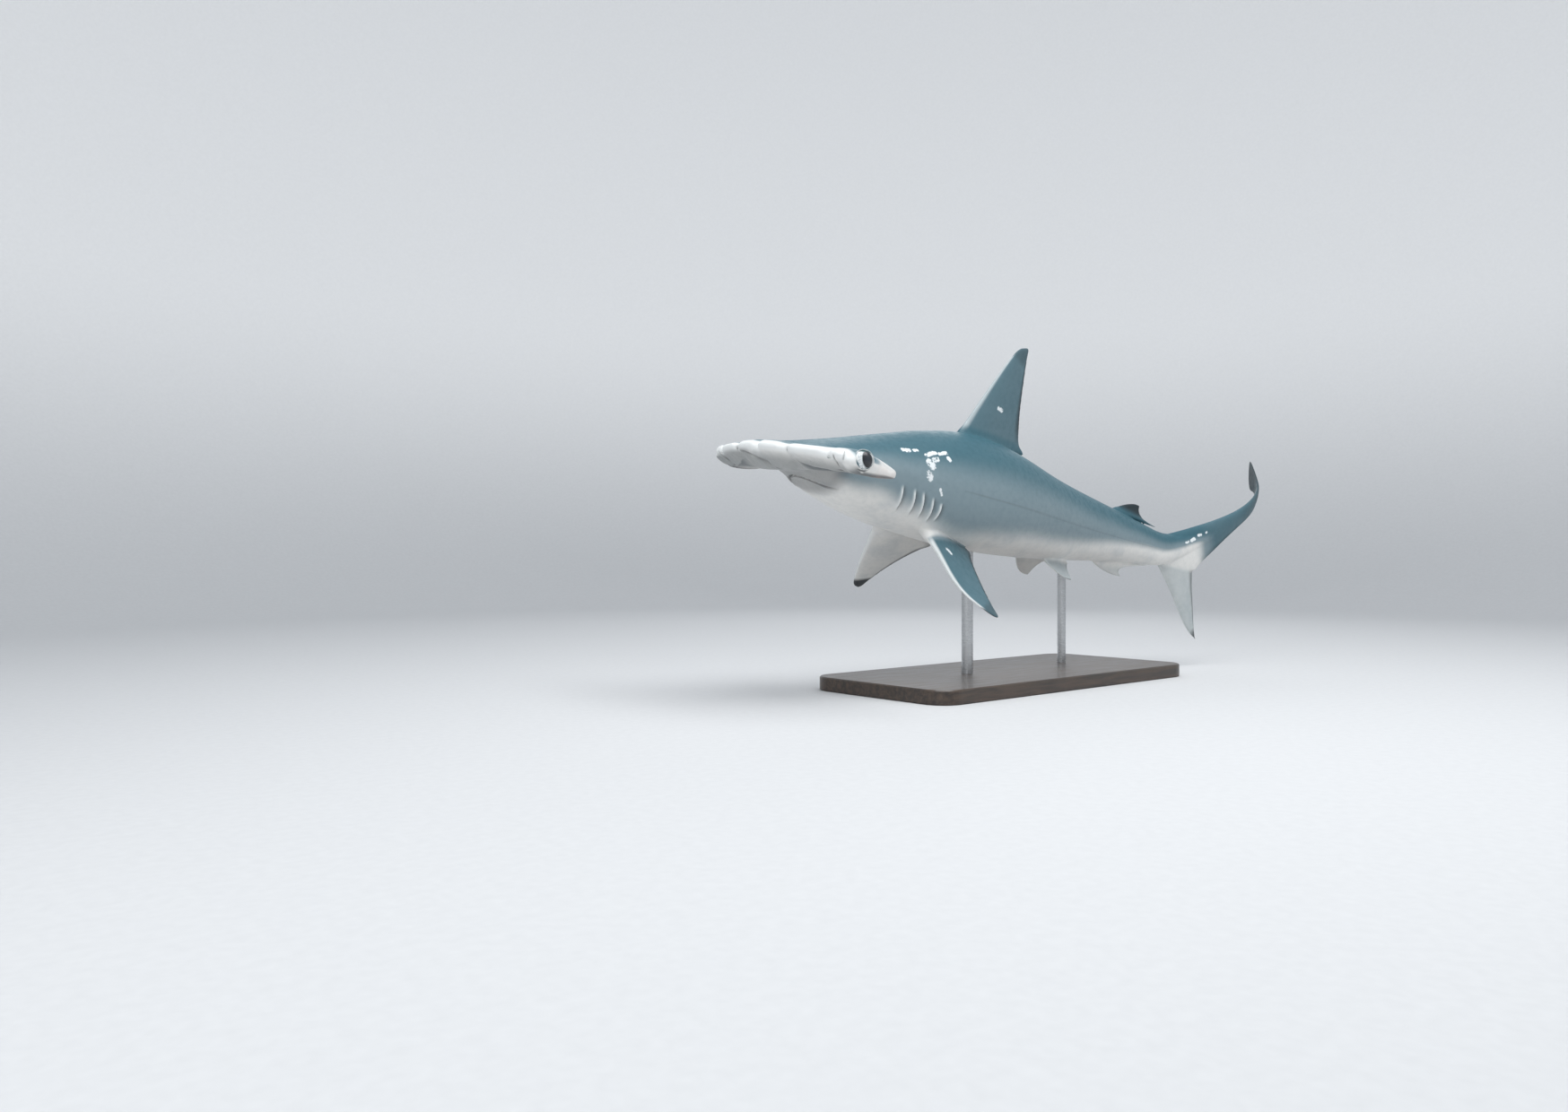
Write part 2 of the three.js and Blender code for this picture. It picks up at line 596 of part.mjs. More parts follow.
let head = body.intersect(slab(-0.1, CUTS.neck)).add(bladeSolid());
head = head.add(lipSolid(LIP_RADIUS + PART_GAP)).add(lipSolid(-LIP_RADIUS - PART_GAP));
for (const side of Object.values(sides)) {
  head = head.add(moundSolid(side)).subtract(socketSolid(side)).add(lidSolid(side));
  head = head.subtract(nostrilSolid(side)).subtract(eyeSolid(side, PART_GAP));
}
head = head.intersect(slab(-0.1, CUTS.neck));
addNode('head', largest(head.subtract(jawTool(PART_GAP))), COLORS.head);
addNode('lower_jaw', largest(head.intersect(jawTool(0))), COLORS.jaw);
for (const [name, side] of Object.entries(sides)) {
  addNode(`eye_${name}`, eyeSolid(side, 0), COLORS.eye, { roughness: 0.1 });
}
addNode('torso', body.intersect(slab(CUTS.torso, CUTS.rear)), COLORS.back);
addNode('rear_body', body.intersect(slab(CUTS.rear, CUTS.stem)), COLORS.back);
addNode('tail_stem', body.intersect(slab(CUTS.stem, CUTS.caudal)), COLORS.back);

// Fins on the middle line
const middleFins = {
  dorsal_fin_1: [
    FIRST_DORSAL, { root: 27, tip: 5, flare: 14, place: ridge(0.275, 0.0735, 0, 1), steps: 1 },
  ],
  dorsal_fin_2: [SECOND_DORSAL, { root: 12, tip: 4, flare: 8, place: ridge(0.605, 0.0395, 0.17, 1) }],
  anal_fin: [ANAL, { root: 12, tip: 4, flare: 8, place: ridge(0.592, 0.0345, -0.14, -1) }],
};
for (const [name, [rows, form]] of Object.entries(middleFins)) {
  const color = name === 'anal_fin' ? COLORS.pale : COLORS.fin;
  addNode(name, largest(finSolid(rows, form).subtract(grownBody)), color);
}

// Paired fins; the last gill flap stands clear of the pectoral fin
let neck = body.intersect(slab(CUTS.neck, CUTS.torso));
const pairedFins = {
  pectoral_fin: [PECTORAL, { root: 25, tip: 5, flare: 16 }, PECTORAL_ROOT],
  pelvic_fin: [PELVIC, { root: 13, tip: 4, flare: 9 }, PELVIC_ROOT],
};
for (const [name, [rows, form, base]] of Object.entries(pairedFins)) {
  for (const [key, side] of Object.entries(sides)) {
    const twist = name === 'pectoral_fin' ? PECTORAL_TWIST[key] : 0;
    const top = rows[rows.length - 1][0] * L;
    const pose = { ...form, place: paired(side, base, FIN_DROOP[name][key], twist, top) };
    addNode(`${name}_${key}`, largest(finSolid(rows, pose).subtract(grownBody)), COLORS.fin);
    neck = neck.subtract(finSolid(rows, pose, PART_GAP).subtract(smoothBody));
  }
}
addNode('neck', largest(neck), COLORS.back);

// Tail fin
const stemEnd = body.intersect(slab(CUTS.caudal, 0.8));
const lobeForm = { root: 22, tip: 5, flare: 0, place: (along, up, aside) => [-along, aside, -up] };
const lobes = upperLobeSolid().add(finSolid(LOWER_LOBE, lobeForm));
const tail = stemEnd.add(lobes).intersect(slab(CUTS.caudal, 1.1));
const LOBE_SPLIT = { s: 0.768, z: -0.026, slope: 0.05 };

function lobeTool(above) {
  const shape = new THREE.BoxGeometry(900, 400, 600);
  shape.translate(0, 0, above ? 300 + PART_GAP / 2 : -300 - PART_GAP / 2);
  shape.rotateY(LOBE_SPLIT.slope);
  shape.translate(-LOBE_SPLIT.s * L, 0, LOBE_SPLIT.z * L);
  return solid(shape);
}
addNode('caudal_upper_lobe', largest(tail.intersect(lobeTool(true))), COLORS.fin);
addNode('caudal_lower_lobe', largest(tail.intersect(lobeTool(false))), COLORS.pale);

// Stand
function standOutline() {
  const [a, b, r] = [BASE_LENGTH / 2 - BASE_BEVEL, BASE_WIDTH / 2 - BASE_BEVEL, BASE_CORNER];
  const shape = new THREE.Shape();
  shape.moveTo(-a + r, -b);
  shape.lineTo(a - r, -b);
  shape.absarc(a - r, -b + r, r, -Math.PI / 2, 0, false);
  shape.lineTo(a, b - r);
  shape.absarc(a - r, b - r, r, 0, Math.PI / 2, false);
  shape.lineTo(-a + r, b);
  shape.absarc(-a + r, b - r, r, Math.PI / 2, Math.PI, false);
  shape.lineTo(-a, -b + r);
  shape.absarc(-a + r, -b + r, r, Math.PI, 1.5 * Math.PI, false);
  return shape;
}
const plate = new THREE.ExtrudeGeometry(standOutline(), {
  depth: BASE_THICK - 2 * BASE_BEVEL, bevelSize: BASE_BEVEL, bevelThickness: BASE_BEVEL, bevelSegments: 1,
  curveSegments: 6,
});
plate.translate(0, 0, BASE_BEVEL);
addNode('stand_base', solid(plate), COLORS.base, { roughness: 0.4, pose: false });

const posedBody = solid(geometryOf(grownBody, true));
for (const [name, radius] of Object.entries(ROD_RADIUS)) {
  const foot = posed(-ROD_S[name] * L, 0, -0.03 * L);
  const low = BASE_THICK + PART_GAP;
  const rod = new THREE.CylinderGeometry(radius, radius, foot.z - low, 24);
  rod.rotateX(Math.PI / 2);
  rod.translate(foot.x, foot.y, (foot.z + low) / 2);
  const shape = largest(solid(rod).subtract(posedBody));
  addNode(`stand_rod_${name}`, shape, COLORS.rod, { roughness: 0.3, metalness: 1, pose: false });
}

export default shark;
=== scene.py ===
"""Looks of a life-size scalloped hammerhead shark on its display stand.

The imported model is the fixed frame. The animal is modelled straight, in millimetres, nose at the
origin and tail along -X, then bent, tilted and scaled to metres, as its solids were.
"""

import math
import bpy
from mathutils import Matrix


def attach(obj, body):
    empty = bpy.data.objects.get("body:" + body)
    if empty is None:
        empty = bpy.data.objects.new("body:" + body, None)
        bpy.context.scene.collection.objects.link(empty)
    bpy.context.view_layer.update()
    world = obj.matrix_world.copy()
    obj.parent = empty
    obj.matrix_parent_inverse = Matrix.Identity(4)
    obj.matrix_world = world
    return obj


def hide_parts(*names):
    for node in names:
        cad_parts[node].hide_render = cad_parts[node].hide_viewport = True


bl_info = {
    "name": "Hammerhead shark on a stand",
    "version": (1, 0, 0),
    "blender": (4, 5, 0),
    "location": "3D View > Sidebar > Shark",
    "description": "Builds the skin, eyes, stand finish and studio around the packed shark",
    "category": "Add Mesh",
}

from collections import namedtuple

import bpy
import numpy as np
from mathutils import Matrix, Vector

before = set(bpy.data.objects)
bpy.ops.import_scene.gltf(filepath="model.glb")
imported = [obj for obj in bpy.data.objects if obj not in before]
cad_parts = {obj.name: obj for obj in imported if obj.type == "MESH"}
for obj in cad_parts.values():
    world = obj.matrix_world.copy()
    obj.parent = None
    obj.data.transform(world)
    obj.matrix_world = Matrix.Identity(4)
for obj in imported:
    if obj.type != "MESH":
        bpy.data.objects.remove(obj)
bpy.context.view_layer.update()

# How the swimming animal is held
PITCH_DEG = 8.6
BANK_DEG = 8.1
PIVOT_S = 0.4
PIVOT_HEIGHT = 470
# s and heading in degrees, s and roll in degrees
HEADING = [
    [0, 9.6], [0.10, 6.4], [0.20, 3.2], [0.30, 0], [0.38, -3.4], [0.45, -1.8], [0.53, 2.9],
    [0.62, 11], [0.70, 17.5], [0.75, 20], [0.79, 18.7], [0.83, 6.3], [0.87, -15.1], [0.91, -45.4],
    [1.0, -45.4],
]
TWIST = [[0, 1.6], [0.1, 1.35], [0.2, 0.6], [0.3, 0], [1, 0]]

# Body profile: s, top, bottom, half width, rise of the middle
BODY = [
    [0.008, 0.003, 0.007, 0.022, 0], [0.020, 0.006, 0.014, 0.040, 0],
    [0.050, 0.013, 0.0215, 0.054, 0], [0.090, 0.024, 0.039, 0.055, 0],
    [0.130, 0.036, 0.050, 0.054, 0], [0.170, 0.048, 0.056, 0.055, 0],
    [0.215, 0.0605, 0.0595, 0.058, 0], [0.280, 0.0725, 0.062, 0.061, 0],
    [0.360, 0.0715, 0.060, 0.060, 0], [0.470, 0.056, 0.051, 0.050, 0],
    [0.600, 0.040, 0.034, 0.032, 0], [0.660, 0.030, 0.026, 0.023, 0],
    [0.700, 0.024, 0.0225, 0.0165, 0], [0.725, 0.020, 0.021, 0.0125, 0.007],
    [0.755, 0.015, 0.018, 0.0085, 0.021], [0.790, 0.009, 0.012, 0.0045, 0.041],
    [0.805, 0.006, 0.008, 0.003, 0.050],
]
BODY_START = 0.008
BODY_END = 0.803
TOP_POWER = 2.0
BOTTOM_POWER = 2.35

# Gill slits: s, height of the middle, half height, lean
GILLS = [
    [0.1617, -0.0243, 0.0135, -0.14], [0.1795, -0.0253, 0.0140, -0.18], [0.1925, -0.0262, 0.0140, -0.24],
    [0.2065, -0.0290, 0.0135, -0.18], [0.2178, -0.0290, 0.0102, -0.05],
]

# Blade of the head, by share of the half span
BLADE_ARCH = 0.030
BLADE_REAR = 0.088
BLADE_REAR_TIP = 0.0885
BLADE_NOTCHES = [[0, 0.030, 0.0060], [0.36, 0.045, 0.0035], [0.775, 0.030, 0.0055]]
BLADE_THICK = [
    [0, 20, 42, 0], [0.2, 18, 42, 0], [0.4, 15, 38, 2], [0.6, 15, 33, 5], [0.75, 17, 28, 7],
    [0.88, 20, 25, 11], [1, 20, 23, 14],
]
BLADE_DROP = 6
BLADE_TIP_DROP = 8
BLADE_EDGE = [5, 9]
BLADE_KEEL = [0.5, 0.38]
BLADE_BLUNT = 0.1

# Eye, at the end of the blade
EYE_S = 0.0445
EYE_INSET = 9
EYE_TOE = 0.32
EYE_HEIGHT = -13
MOUND_RADII = [36, 30, 24]
MOUND_INSET = 25
MOUND_HEIGHT = -17
# Lid ring: distance out from the eye's centre, radius and tube
LID_RING = [5.5, 20.4, 2.6]
# Room around the ball in its socket, and the clear way out: radius, near end and far end
SOCKET_ROOM = 0.5
APERTURE = [18.8, 2, 45]

# Pupil: half width and height, how far back it looks and how it leans, in metres
PUPIL_RADII = [0.0117, 0.0168]
PUPIL_BACK = 0.0048
PUPIL_LEAN = 0.2

# Mouth, seen from below, and nostril
MOUTH_FRONT = 0.0555
MOUTH_CORNER = 0.088
MOUTH_HALF = 0.037
NOSTRIL = [0.785, 0.0245, -19]
NOSTRIL_RADII = (6, 9.5, 3.4)
NOSTRIL_TURN = -0.35

# Folds of the head: points by s, share of the half span and height, then depth, width and darkness of the
# painted shade in the fold;
# those with a share below 0 are on the right side only
HEAD_FOLDS = [
    ([[0.0089, -0.372, -10], [0.0060, -0.202, -20], [0.0104, -0.110, -28], [0.0169, -0.043, -35],
      [0.0240, 0.015, -41], [0.0300, 0.080, -48], [0.0400, 0.100, -52]], 2.6, 5.0, 0.42),
    ([[0.0226, -0.630, -25], [0.0300, -0.640, -32], [0.0331, -0.548, -38],
      [0.0385, -0.464, -41]], 1.5, 2.6, 0.45),
    ([[0.0086, 0.384, -10], [0.0155, 0.380, -18], [0.0182, 0.447, -23], [0.0262, 0.545, -30],
      [0.0321, 0.658, -32], [0.0400, 0.740, -36], [0.0470, 0.860, -41], [0.0561, 0.914, -43]], 3.0, 3.8, 0.6),
    ([[0.0229, 0.848, -16], [0.0279, 0.830, -25], [0.0360, 0.800, -31],
      [0.0440, 0.800, -36]], 3.0, 2.8, 0.65),
    ([[0.0274, 0.924, -6], [0.0271, 0.931, -13], [0.0275, 0.924, -21]], 2.2, 2.6, 0.35),
    ([[0.0350, 0.960, -21], [0.0398, 0.943, -30], [0.0421, 0.967, -36], [0.0469, 0.960, -38]], 2.4, 2.8, 0.5),
]
# Swellings of each side of the head: s, share, height, lift and width
HEAD_SWELLINGS = [
    [0.0235, 0.890, -13, 3.0, 9], [0.0305, 0.950, -25, 2.4, 10], [0.0210, 0.815, -26, 2.0, 8],
]
# Front of the hollow under each wing: share and s
HOLLOW_FRONT = [
    [0.30, 0.020], [0.36, 0.0165], [0.384, 0.0165], [0.447, 0.0192], [0.545, 0.0270],
    [0.658, 0.0330], [0.740, 0.0410], [0.860, 0.0480], [1.0, 0.060],
]
HOLLOW_DEPTH = 4

# Scars of the left side: s, y and z along each, and width
SCARS = [
    ([[0.1585, 93, 61], [0.1660, 95, 64]], 3.4), ([[0.1725, 94, 67], [0.1770, 94.5, 69]], 2.4),
    ([[0.1881, 104.5, 62.5], [0.1980, 100.4, 73.7]], 3.0),
    ([[0.1980, 100.4, 73.7], [0.2079, 102.2, 76.4], [0.2176, 100.4, 83.3]], 2.6),
    ([[0.1903, 112.9, 48.8], [0.1947, 117.6, 40.1]], 5.0),
    ([[0.1903, 112.9, 48.8], [0.2021, 110.1, 60.8]], 3.6),
    ([[0.2185, 109.5, 70.5], [0.2200, 110.8, 67]], 3.0), ([[0.1898, 122.2, 18], [0.1912, 123.3, 12]], 5.0),
    ([[0.2085, 126.3, -10], [0.2125, 126.6, -22]], 1.9),
    ([[0.2444, 125.3, -153.7], [0.2401, 119.4, -144.8]], 2.8),
    ([[0.3391, 9.6, 247.7], [0.3312, 10.1, 251.2]], 2.6),
    ([[0.7390, 22.4, 39.4], [0.7425, 21.2, 44]], 1.9), ([[0.7480, 19.2, 50], [0.7530, 17.7, 57]], 2.7),
    ([[0.7599, 14.1, 70.8], [0.7640, 13.6, 75]], 2.2), ([[0.7725, 12.4, 84.8], [0.7740, 12, 88]], 1.7),
    ([[0.7435, 18, 30], [0.7450, 17.4, 33]], 1.8),
]
# Height of the lower edge of the grey flank by s, as a share of the body's depth
FLANK_EDGE = [
    [0, -0.5], [0.09, -0.60], [0.13, -0.46], [0.16, -0.52], [0.20, -0.62], [0.25, -0.78], [0.30, -0.66],
    [0.38, -0.51], [0.495, -0.43], [0.60, -0.20], [0.68, -0.05], [0.75, -0.05], [1, -0.05],
]
# Colour of the fins: shade outside and inside, dark trailing edge, where the dark tip begins and
# how dark it is outside and inside
FIN_MARKS = {
    "dorsal_fin_1": [0.80, 0.80, 0.85, 0.80, 0.35, 0.35],
    "dorsal_fin_2": [0.85, 0.85, 0.5, 0.10, 0.90, 0.90],
    "anal_fin": [0.18, 0.18, 0.25, 0.90, 0.2, 0.2],
    "pectoral_fin": [0.86, 0.04, 0.85, 0.80, 0.40, 0.98],
    "pelvic_fin": [0.30, 0.05, 0.25, 0.90, 0.2, 0.2],
    "caudal_lower_lobe": [0.27, 0.27, 0.60, 0.88, 0.75, 0.75],
}

# Fin outlines: height above the root line, leading edge s, trailing edge s
FIRST_DORSAL = [
    [-0.030, 0.262, 0.366], [-0.008, 0.2715, 0.384], [-0.003, 0.2735, 0.4035],
    [0.001, 0.276, 0.4015], [0.008, 0.281, 0.3925], [0.021, 0.289, 0.387], [0.045, 0.303, 0.381],
    [0.070, 0.318, 0.377], [0.095, 0.334, 0.374], [0.110, 0.345, 0.3725], [0.118, 0.353, 0.3725],
    [0.1225, 0.361, 0.372], [0.124, 0.369, 0.370],
]
SECOND_DORSAL = [
    [-0.014, 0.601, 0.640], [0, 0.605, 0.648], [0.0025, 0.608, 0.675], [0.0042, 0.610, 0.690],
    [0.0062, 0.614, 0.668], [0.010, 0.620, 0.657], [0.0145, 0.628, 0.652], [0.018, 0.636, 0.651],
    [0.0202, 0.643, 0.6505], [0.0210, 0.648, 0.649],
]
ANAL = [
    [-0.014, 0.582, 0.643], [0, 0.587, 0.648], [0.0025, 0.591, 0.671], [0.0042, 0.593, 0.684],
    [0.0065, 0.597, 0.658], [0.010, 0.604, 0.642], [0.0135, 0.613, 0.639], [0.017, 0.624, 0.641],
    [0.0193, 0.635, 0.643], [0.0203, 0.643, 0.644],
]
PECTORAL = [
    [-0.04, 0.2071, 0.2836], [0.0, 0.2131, 0.2789], [0.0082, 0.2164, 0.2943],
    [0.0153, 0.2188, 0.3034], [0.0259, 0.2237, 0.2963], [0.0471, 0.2325, 0.2881],
    [0.0706, 0.243, 0.2825], [0.0918, 0.254, 0.2798], [0.1059, 0.2625, 0.279],
    [0.113, 0.2685, 0.2785], [0.1153, 0.274, 0.2765],
]
PELVIC = [
    [-0.020, 0.45, 0.5], [0, 0.456, 0.506], [0.0043, 0.4595, 0.5205], [0.008, 0.4625, 0.518],
    [0.015, 0.469, 0.513], [0.0224, 0.4775, 0.511], [0.0289, 0.4875, 0.511],
    [0.0325, 0.4965, 0.5105], [0.0343, 0.505, 0.509],
]
LOWER_LOBE = [
    [-0.004, 0.688, 0.764], [0.01116, 0.6968, 0.766], [0.02418, 0.7102, 0.769],
    [0.04092, 0.7269, 0.773], [0.05766, 0.742, 0.7785], [0.0744, 0.7555, 0.784],
    [0.08742, 0.7665, 0.788], [0.09858, 0.7775, 0.792], [0.106, 0.7875, 0.795],
    [0.1102, 0.795, 0.7965], [0.1116, 0.8005, 0.797],
]
# Upper lobe along its own axis: distance, upper edge, lower edge, half thickness
UPPER_LOBE = [
    [-0.010, 0.001, -0.001, 0.002], [-0.006, 0.012, -0.016, 0.0075], [0.010, 0.0165, -0.034, 0.0095],
    [0.025, 0.0145, -0.046, 0.0088], [0.049, 0.0115, -0.0505, 0.0075], [0.070, 0.0095, -0.042, 0.0062],
    [0.090, 0.0078, -0.0350, 0.0052], [0.115, 0.0065, -0.0265, 0.0044],
    [0.140, 0.0060, -0.0200, 0.0038], [0.165, 0.0062, -0.0165, 0.0033],
    [0.195, 0.0066, -0.0155, 0.0028], [0.222, 0.0066, -0.0175, 0.0024],
    [0.2315, 0.0064, -0.0110, 0.0022], [0.240, 0.0062, -0.0125, 0.0020],
    [0.255, 0.0056, -0.0185, 0.0018], [0.270, 0.0046, -0.0160, 0.0015],
    [0.283, 0.0032, -0.0100, 0.0012], [0.291, 0.0016, -0.0045, 0.0009], [0.295, 0, -0.0004, 0.0006],
]
UPPER_LOBE_S = 0.700
UPPER_LOBE_RISE = 30.6
UPPER_LOBE_CURL = [0.14, 0.81]
TRAILING_EDGE = 2.4
# Thickness at the root and tip, and flare at the root, in millimetres
FIN_THICK = {
    "dorsal_fin_1": [27, 5, 14], "dorsal_fin_2": [12, 4, 8], "anal_fin": [12, 4, 8],
    "pectoral_fin": [25, 5, 16], "pelvic_fin": [13, 4, 9], "caudal_lower_lobe": [22, 5, 0],
}
# s, height, slope and sign of the fins on the middle line
RIDGES = {
    "dorsal_fin_1": [0.275, 0.0735, 0, 1], "dorsal_fin_2": [0.605, 0.0395, 0.17, 1],
    "anal_fin": [0.592, 0.0345, -0.14, -1],
}
# s, y, z, lean towards the middle, climb; droop of the left and right fin
PAIRED = {
    "pectoral_fin": [0.207, 0.0451, -0.0565, 0.266, 0.032],
    "pelvic_fin": [0.456, 0.0175, -0.045, 0.05, 0.02],
}
DROOP = {"pectoral_fin": [40.3, 42], "pelvic_fin": [46, 57]}
PECTORAL_TWIST = [0.24, 0.281]

FLESH_NODES = [
    "head", "lower_jaw", "neck", "torso", "rear_body", "tail_stem", "dorsal_fin_1", "dorsal_fin_2",
    "anal_fin", "pectoral_fin_left", "pectoral_fin_right", "pelvic_fin_left", "pelvic_fin_right",
    "caudal_upper_lobe", "caudal_lower_lobe",
]
# Where the skin is meshed finer: s and factor
FINENESS = [
    [0, 1.75], [0.235, 1.7], [0.34, 1.0], [0.55, 1.0], [0.60, 1.35], [0.72, 1.35], [0.80, 1.2], [1, 1.2],
]
# Thinnest half thickness of a fin while it is meshed
MESHED_HALF = 3.4
# Reach of the flare at a fin's root, and how far beside its outline a point still counts as on it
FLARE_REACH = 14
FIN_MARGIN = 7
# Rounds of smoothing: the whole skin, the corner behind the wings, and the front rim, rear tips
# and fin edges
EVEN_ROUNDS = 6
CORNER_ROUNDS = 160
RIM_ROUNDS = 44
TIP_ROUNDS = 36
EDGE_ROUNDS = 14
# Most points that are compared with a line in one go
BATCH = 20000

# Second colours of the paints
CLOUD_TINT = (0.42, 0.50, 0.52, 1)
IRIS_FLECK = (0.50, 0.54, 0.55, 1)
PUPIL_SHEEN = (0.018, 0.024, 0.032, 1)
OAK_PORE = (0.012, 0.009, 0.007, 1)
STEEL_SHADE = (0.42, 0.43, 0.44, 1)
PAPER_SHADE = (0.61, 0.62, 0.63, 1)

CAMERA_PLACE = (2.54208, 2.02143, 0.35788)
CAMERA_YAW = -2.279388515
CAMERA_PITCH = -0.00395
CAMERA_LENS = 26.774
# Radius of the flat floor, radius of its bend and height of the backdrop, in metres
SWEEP = [4.3, 1.8, 6.4]
# Lights: place, target, size and the setting that holds the power
LIGHTS = {
    "key_light": [(0.6, 1.2, 3.4), (0, 0, 0.5), (3.0, 2.4), "key_power"],
    "fill_light": [(3.4, 1.4, 1.4), (0, 0, 0.5), (2.0, 1.6), "fill_power"],
    "rim_light": [(-2.6, -2.2, 2.4), (0, 0, 0.6), (2.0, 1.4), "fill_power"],
}
SKY_COLOUR = (0.86, 0.92, 1.0, 1)
SKY_STRENGTH = 0.5

Fin = namedtuple("Fin", "name rows put read side")


def curve(table, x, column):
    """Smooth curve through the rows of a table, read in one column."""
    rows = np.array(table, float)
    keys, values = rows[:, 0], rows[:, column]
    slopes = np.empty(len(keys))
    slopes[1:-1] = (values[2:] - values[:-2]) / (keys[2:] - keys[:-2])
    slopes[0] = (values[1] - values[0]) / (keys[1] - keys[0])
    slopes[-1] = (values[-1] - values[-2]) / (keys[-1] - keys[-2])
    x = np.clip(np.asarray(x, float), keys[0], keys[-1])
    i = np.clip(np.searchsorted(keys, x, side="right") - 1, 0, len(keys) - 2)
    width = keys[i + 1] - keys[i]
    t = (x - keys[i]) / width
    return (
        (2 * t**3 - 3 * t**2 + 1) * values[i]
        + (t**3 - 2 * t**2 + t) * width * slopes[i]
        + (3 * t**2 - 2 * t**3) * values[i + 1]
        + (t**3 - t**2) * width * slopes[i + 1]
    )


def smooth(low, high, x):
    """0 below low, 1 above high, and a soft step between."""
    t = np.clip((np.asarray(x, float) - low) / (high - low), 0, 1)
    return t * t * (3 - 2 * t)


def bell(x, width):
    """1 at 0, falling away over a width."""
    return np.exp(-((np.asarray(x, float) / width) ** 2))


def power(value, exponent):
    """Power that keeps the sign."""
    return np.sign(value) * np.abs(value) ** exponent


def unit(rows):
    """Rows at length 1."""
    return rows / np.linalg.norm(rows, axis=1)[:, None]


def foil(c):
    """Half thickness of a fin section along its chord, as a share of its thickness."""
    return 5 * (0.2969 * np.sqrt(c) - 0.126 * c - 0.3516 * c**2 + 0.2843 * c**3 - 0.1036 * c**4)


def chord_loop(steps):
    """Chord shares along the upper face and back along the lower one, and the sign of the face."""
    one_way = (1 - np.cos(np.linspace(0, np.pi, steps))) / 2
    c = np.concatenate([one_way, one_way[-2:0:-1]])[None, :]
    face = np.concatenate([np.ones(steps), -np.ones(steps - 2)])[None, :]
    face[0, 0] = 0
    return c, face


def open_rings(count):
    """0 for the first and last ring, which close to a point, and 1 for those between."""
    ring = np.arange(count)
    return np.minimum(1, np.minimum(ring, count - 1 - ring))[:, None]


def length():
    """Total length of the straight animal in millimetres."""
    return bpy.context.scene.shark.total_length * 1000


# Meshes from arrays


def closed_sheet(rings):
    """Corners and triangles of a closed surface from rings; the first and last close to a point."""
    count, around = rings.shape[:2]
    points = np.concatenate([rings[:1, :1], rings[1:-1].reshape(1, -1, 3), rings[-1:, :1]], axis=1)[0]
    step = np.arange(around)
    after = (step + 1) % around
    faces = [np.stack([np.zeros(around, int), 1 + after, 1 + step], 1)]
    for row in range(count - 3):
        low = 1 + row * around
        high = low + around
        faces.append(np.stack([low + step, low + after, high + after], 1))
        faces.append(np.stack([low + step, high + after, high + step], 1))
    low = 1 + (count - 3) * around
    faces.append(np.stack([low + step, low + after, np.full(around, len(points) - 1)], 1))
    return points, np.concatenate(faces)


def outward(points, faces):
    """The same closed surface with its faces turned outward."""
    a, b, c = points[faces[:, 0]], points[faces[:, 1]], points[faces[:, 2]]
    volume = np.einsum("ij,ij->", a, np.cross(b, c))
    return points, faces if volume > 0 else faces[:, ::-1]


def together(parts):
    """Several closed surfaces as one list of corners and triangles."""
    corners, triangles, count = [], [], 0
    for points, faces in parts:
        corners.append(points)
        triangles.append(faces + count)
        count += len(points)
    return np.concatenate(corners), np.concatenate(triangles)


def mesh_from(name, points, faces):
    """A mesh datablock from corners and triangles."""
    mesh = bpy.data.meshes.new(name)
    mesh.vertices.add(len(points))
    mesh.vertices.foreach_set("co", np.asarray(points, np.float32).ravel())
    mesh.loops.add(faces.size)
    mesh.loops.foreach_set("vertex_index", np.asarray(faces, np.int32).ravel())
    mesh.polygons.add(len(faces))
    mesh.polygons.foreach_set("loop_start", np.arange(0, faces.size, 3, dtype=np.int32))
    mesh.update(calc_edges=True)
    return mesh


def place_object(name, mesh):
    """An object that holds a mesh, linked to the scene."""
    made = bpy.data.objects.new(name, mesh)
    bpy.context.scene.collection.objects.link(made)
    return made


def applied(made):
    """The object with its modifiers applied."""
    bpy.context.view_layer.update()
    graph = bpy.context.evaluated_depsgraph_get()
    result = bpy.data.meshes.new_from_object(made.evaluated_get(graph))
    made.modifiers.clear()
    old = made.data
    made.data = result
    bpy.data.meshes.remove(old)
    return made


def corners_of(mesh):
    """Corner places of a mesh as an array."""
    flat = np.empty(len(mesh.vertices) * 3, np.float32)
    mesh.vertices.foreach_get("co", flat)
    return flat.reshape(-1, 3).astype(float)


def normals_of(mesh):
    """Corner normals of a mesh as an array."""
    flat = np.empty(len(mesh.vertices) * 3, np.float32)
    mesh.vertex_normals.foreach_get("vector", flat)
    return flat.reshape(-1, 3).astype(float)


def set_corners(mesh, points):
    """Moves the corners of a mesh."""
    mesh.vertices.foreach_set("co", np.asarray(points, np.float32).ravel())
    mesh.update()


def edges_of(mesh):
    """Corner pairs of a mesh's edges."""
    flat = np.empty(len(mesh.edges) * 2, np.int32)
    mesh.edges.foreach_get("vertices", flat)
    return flat.reshape(-1, 2)


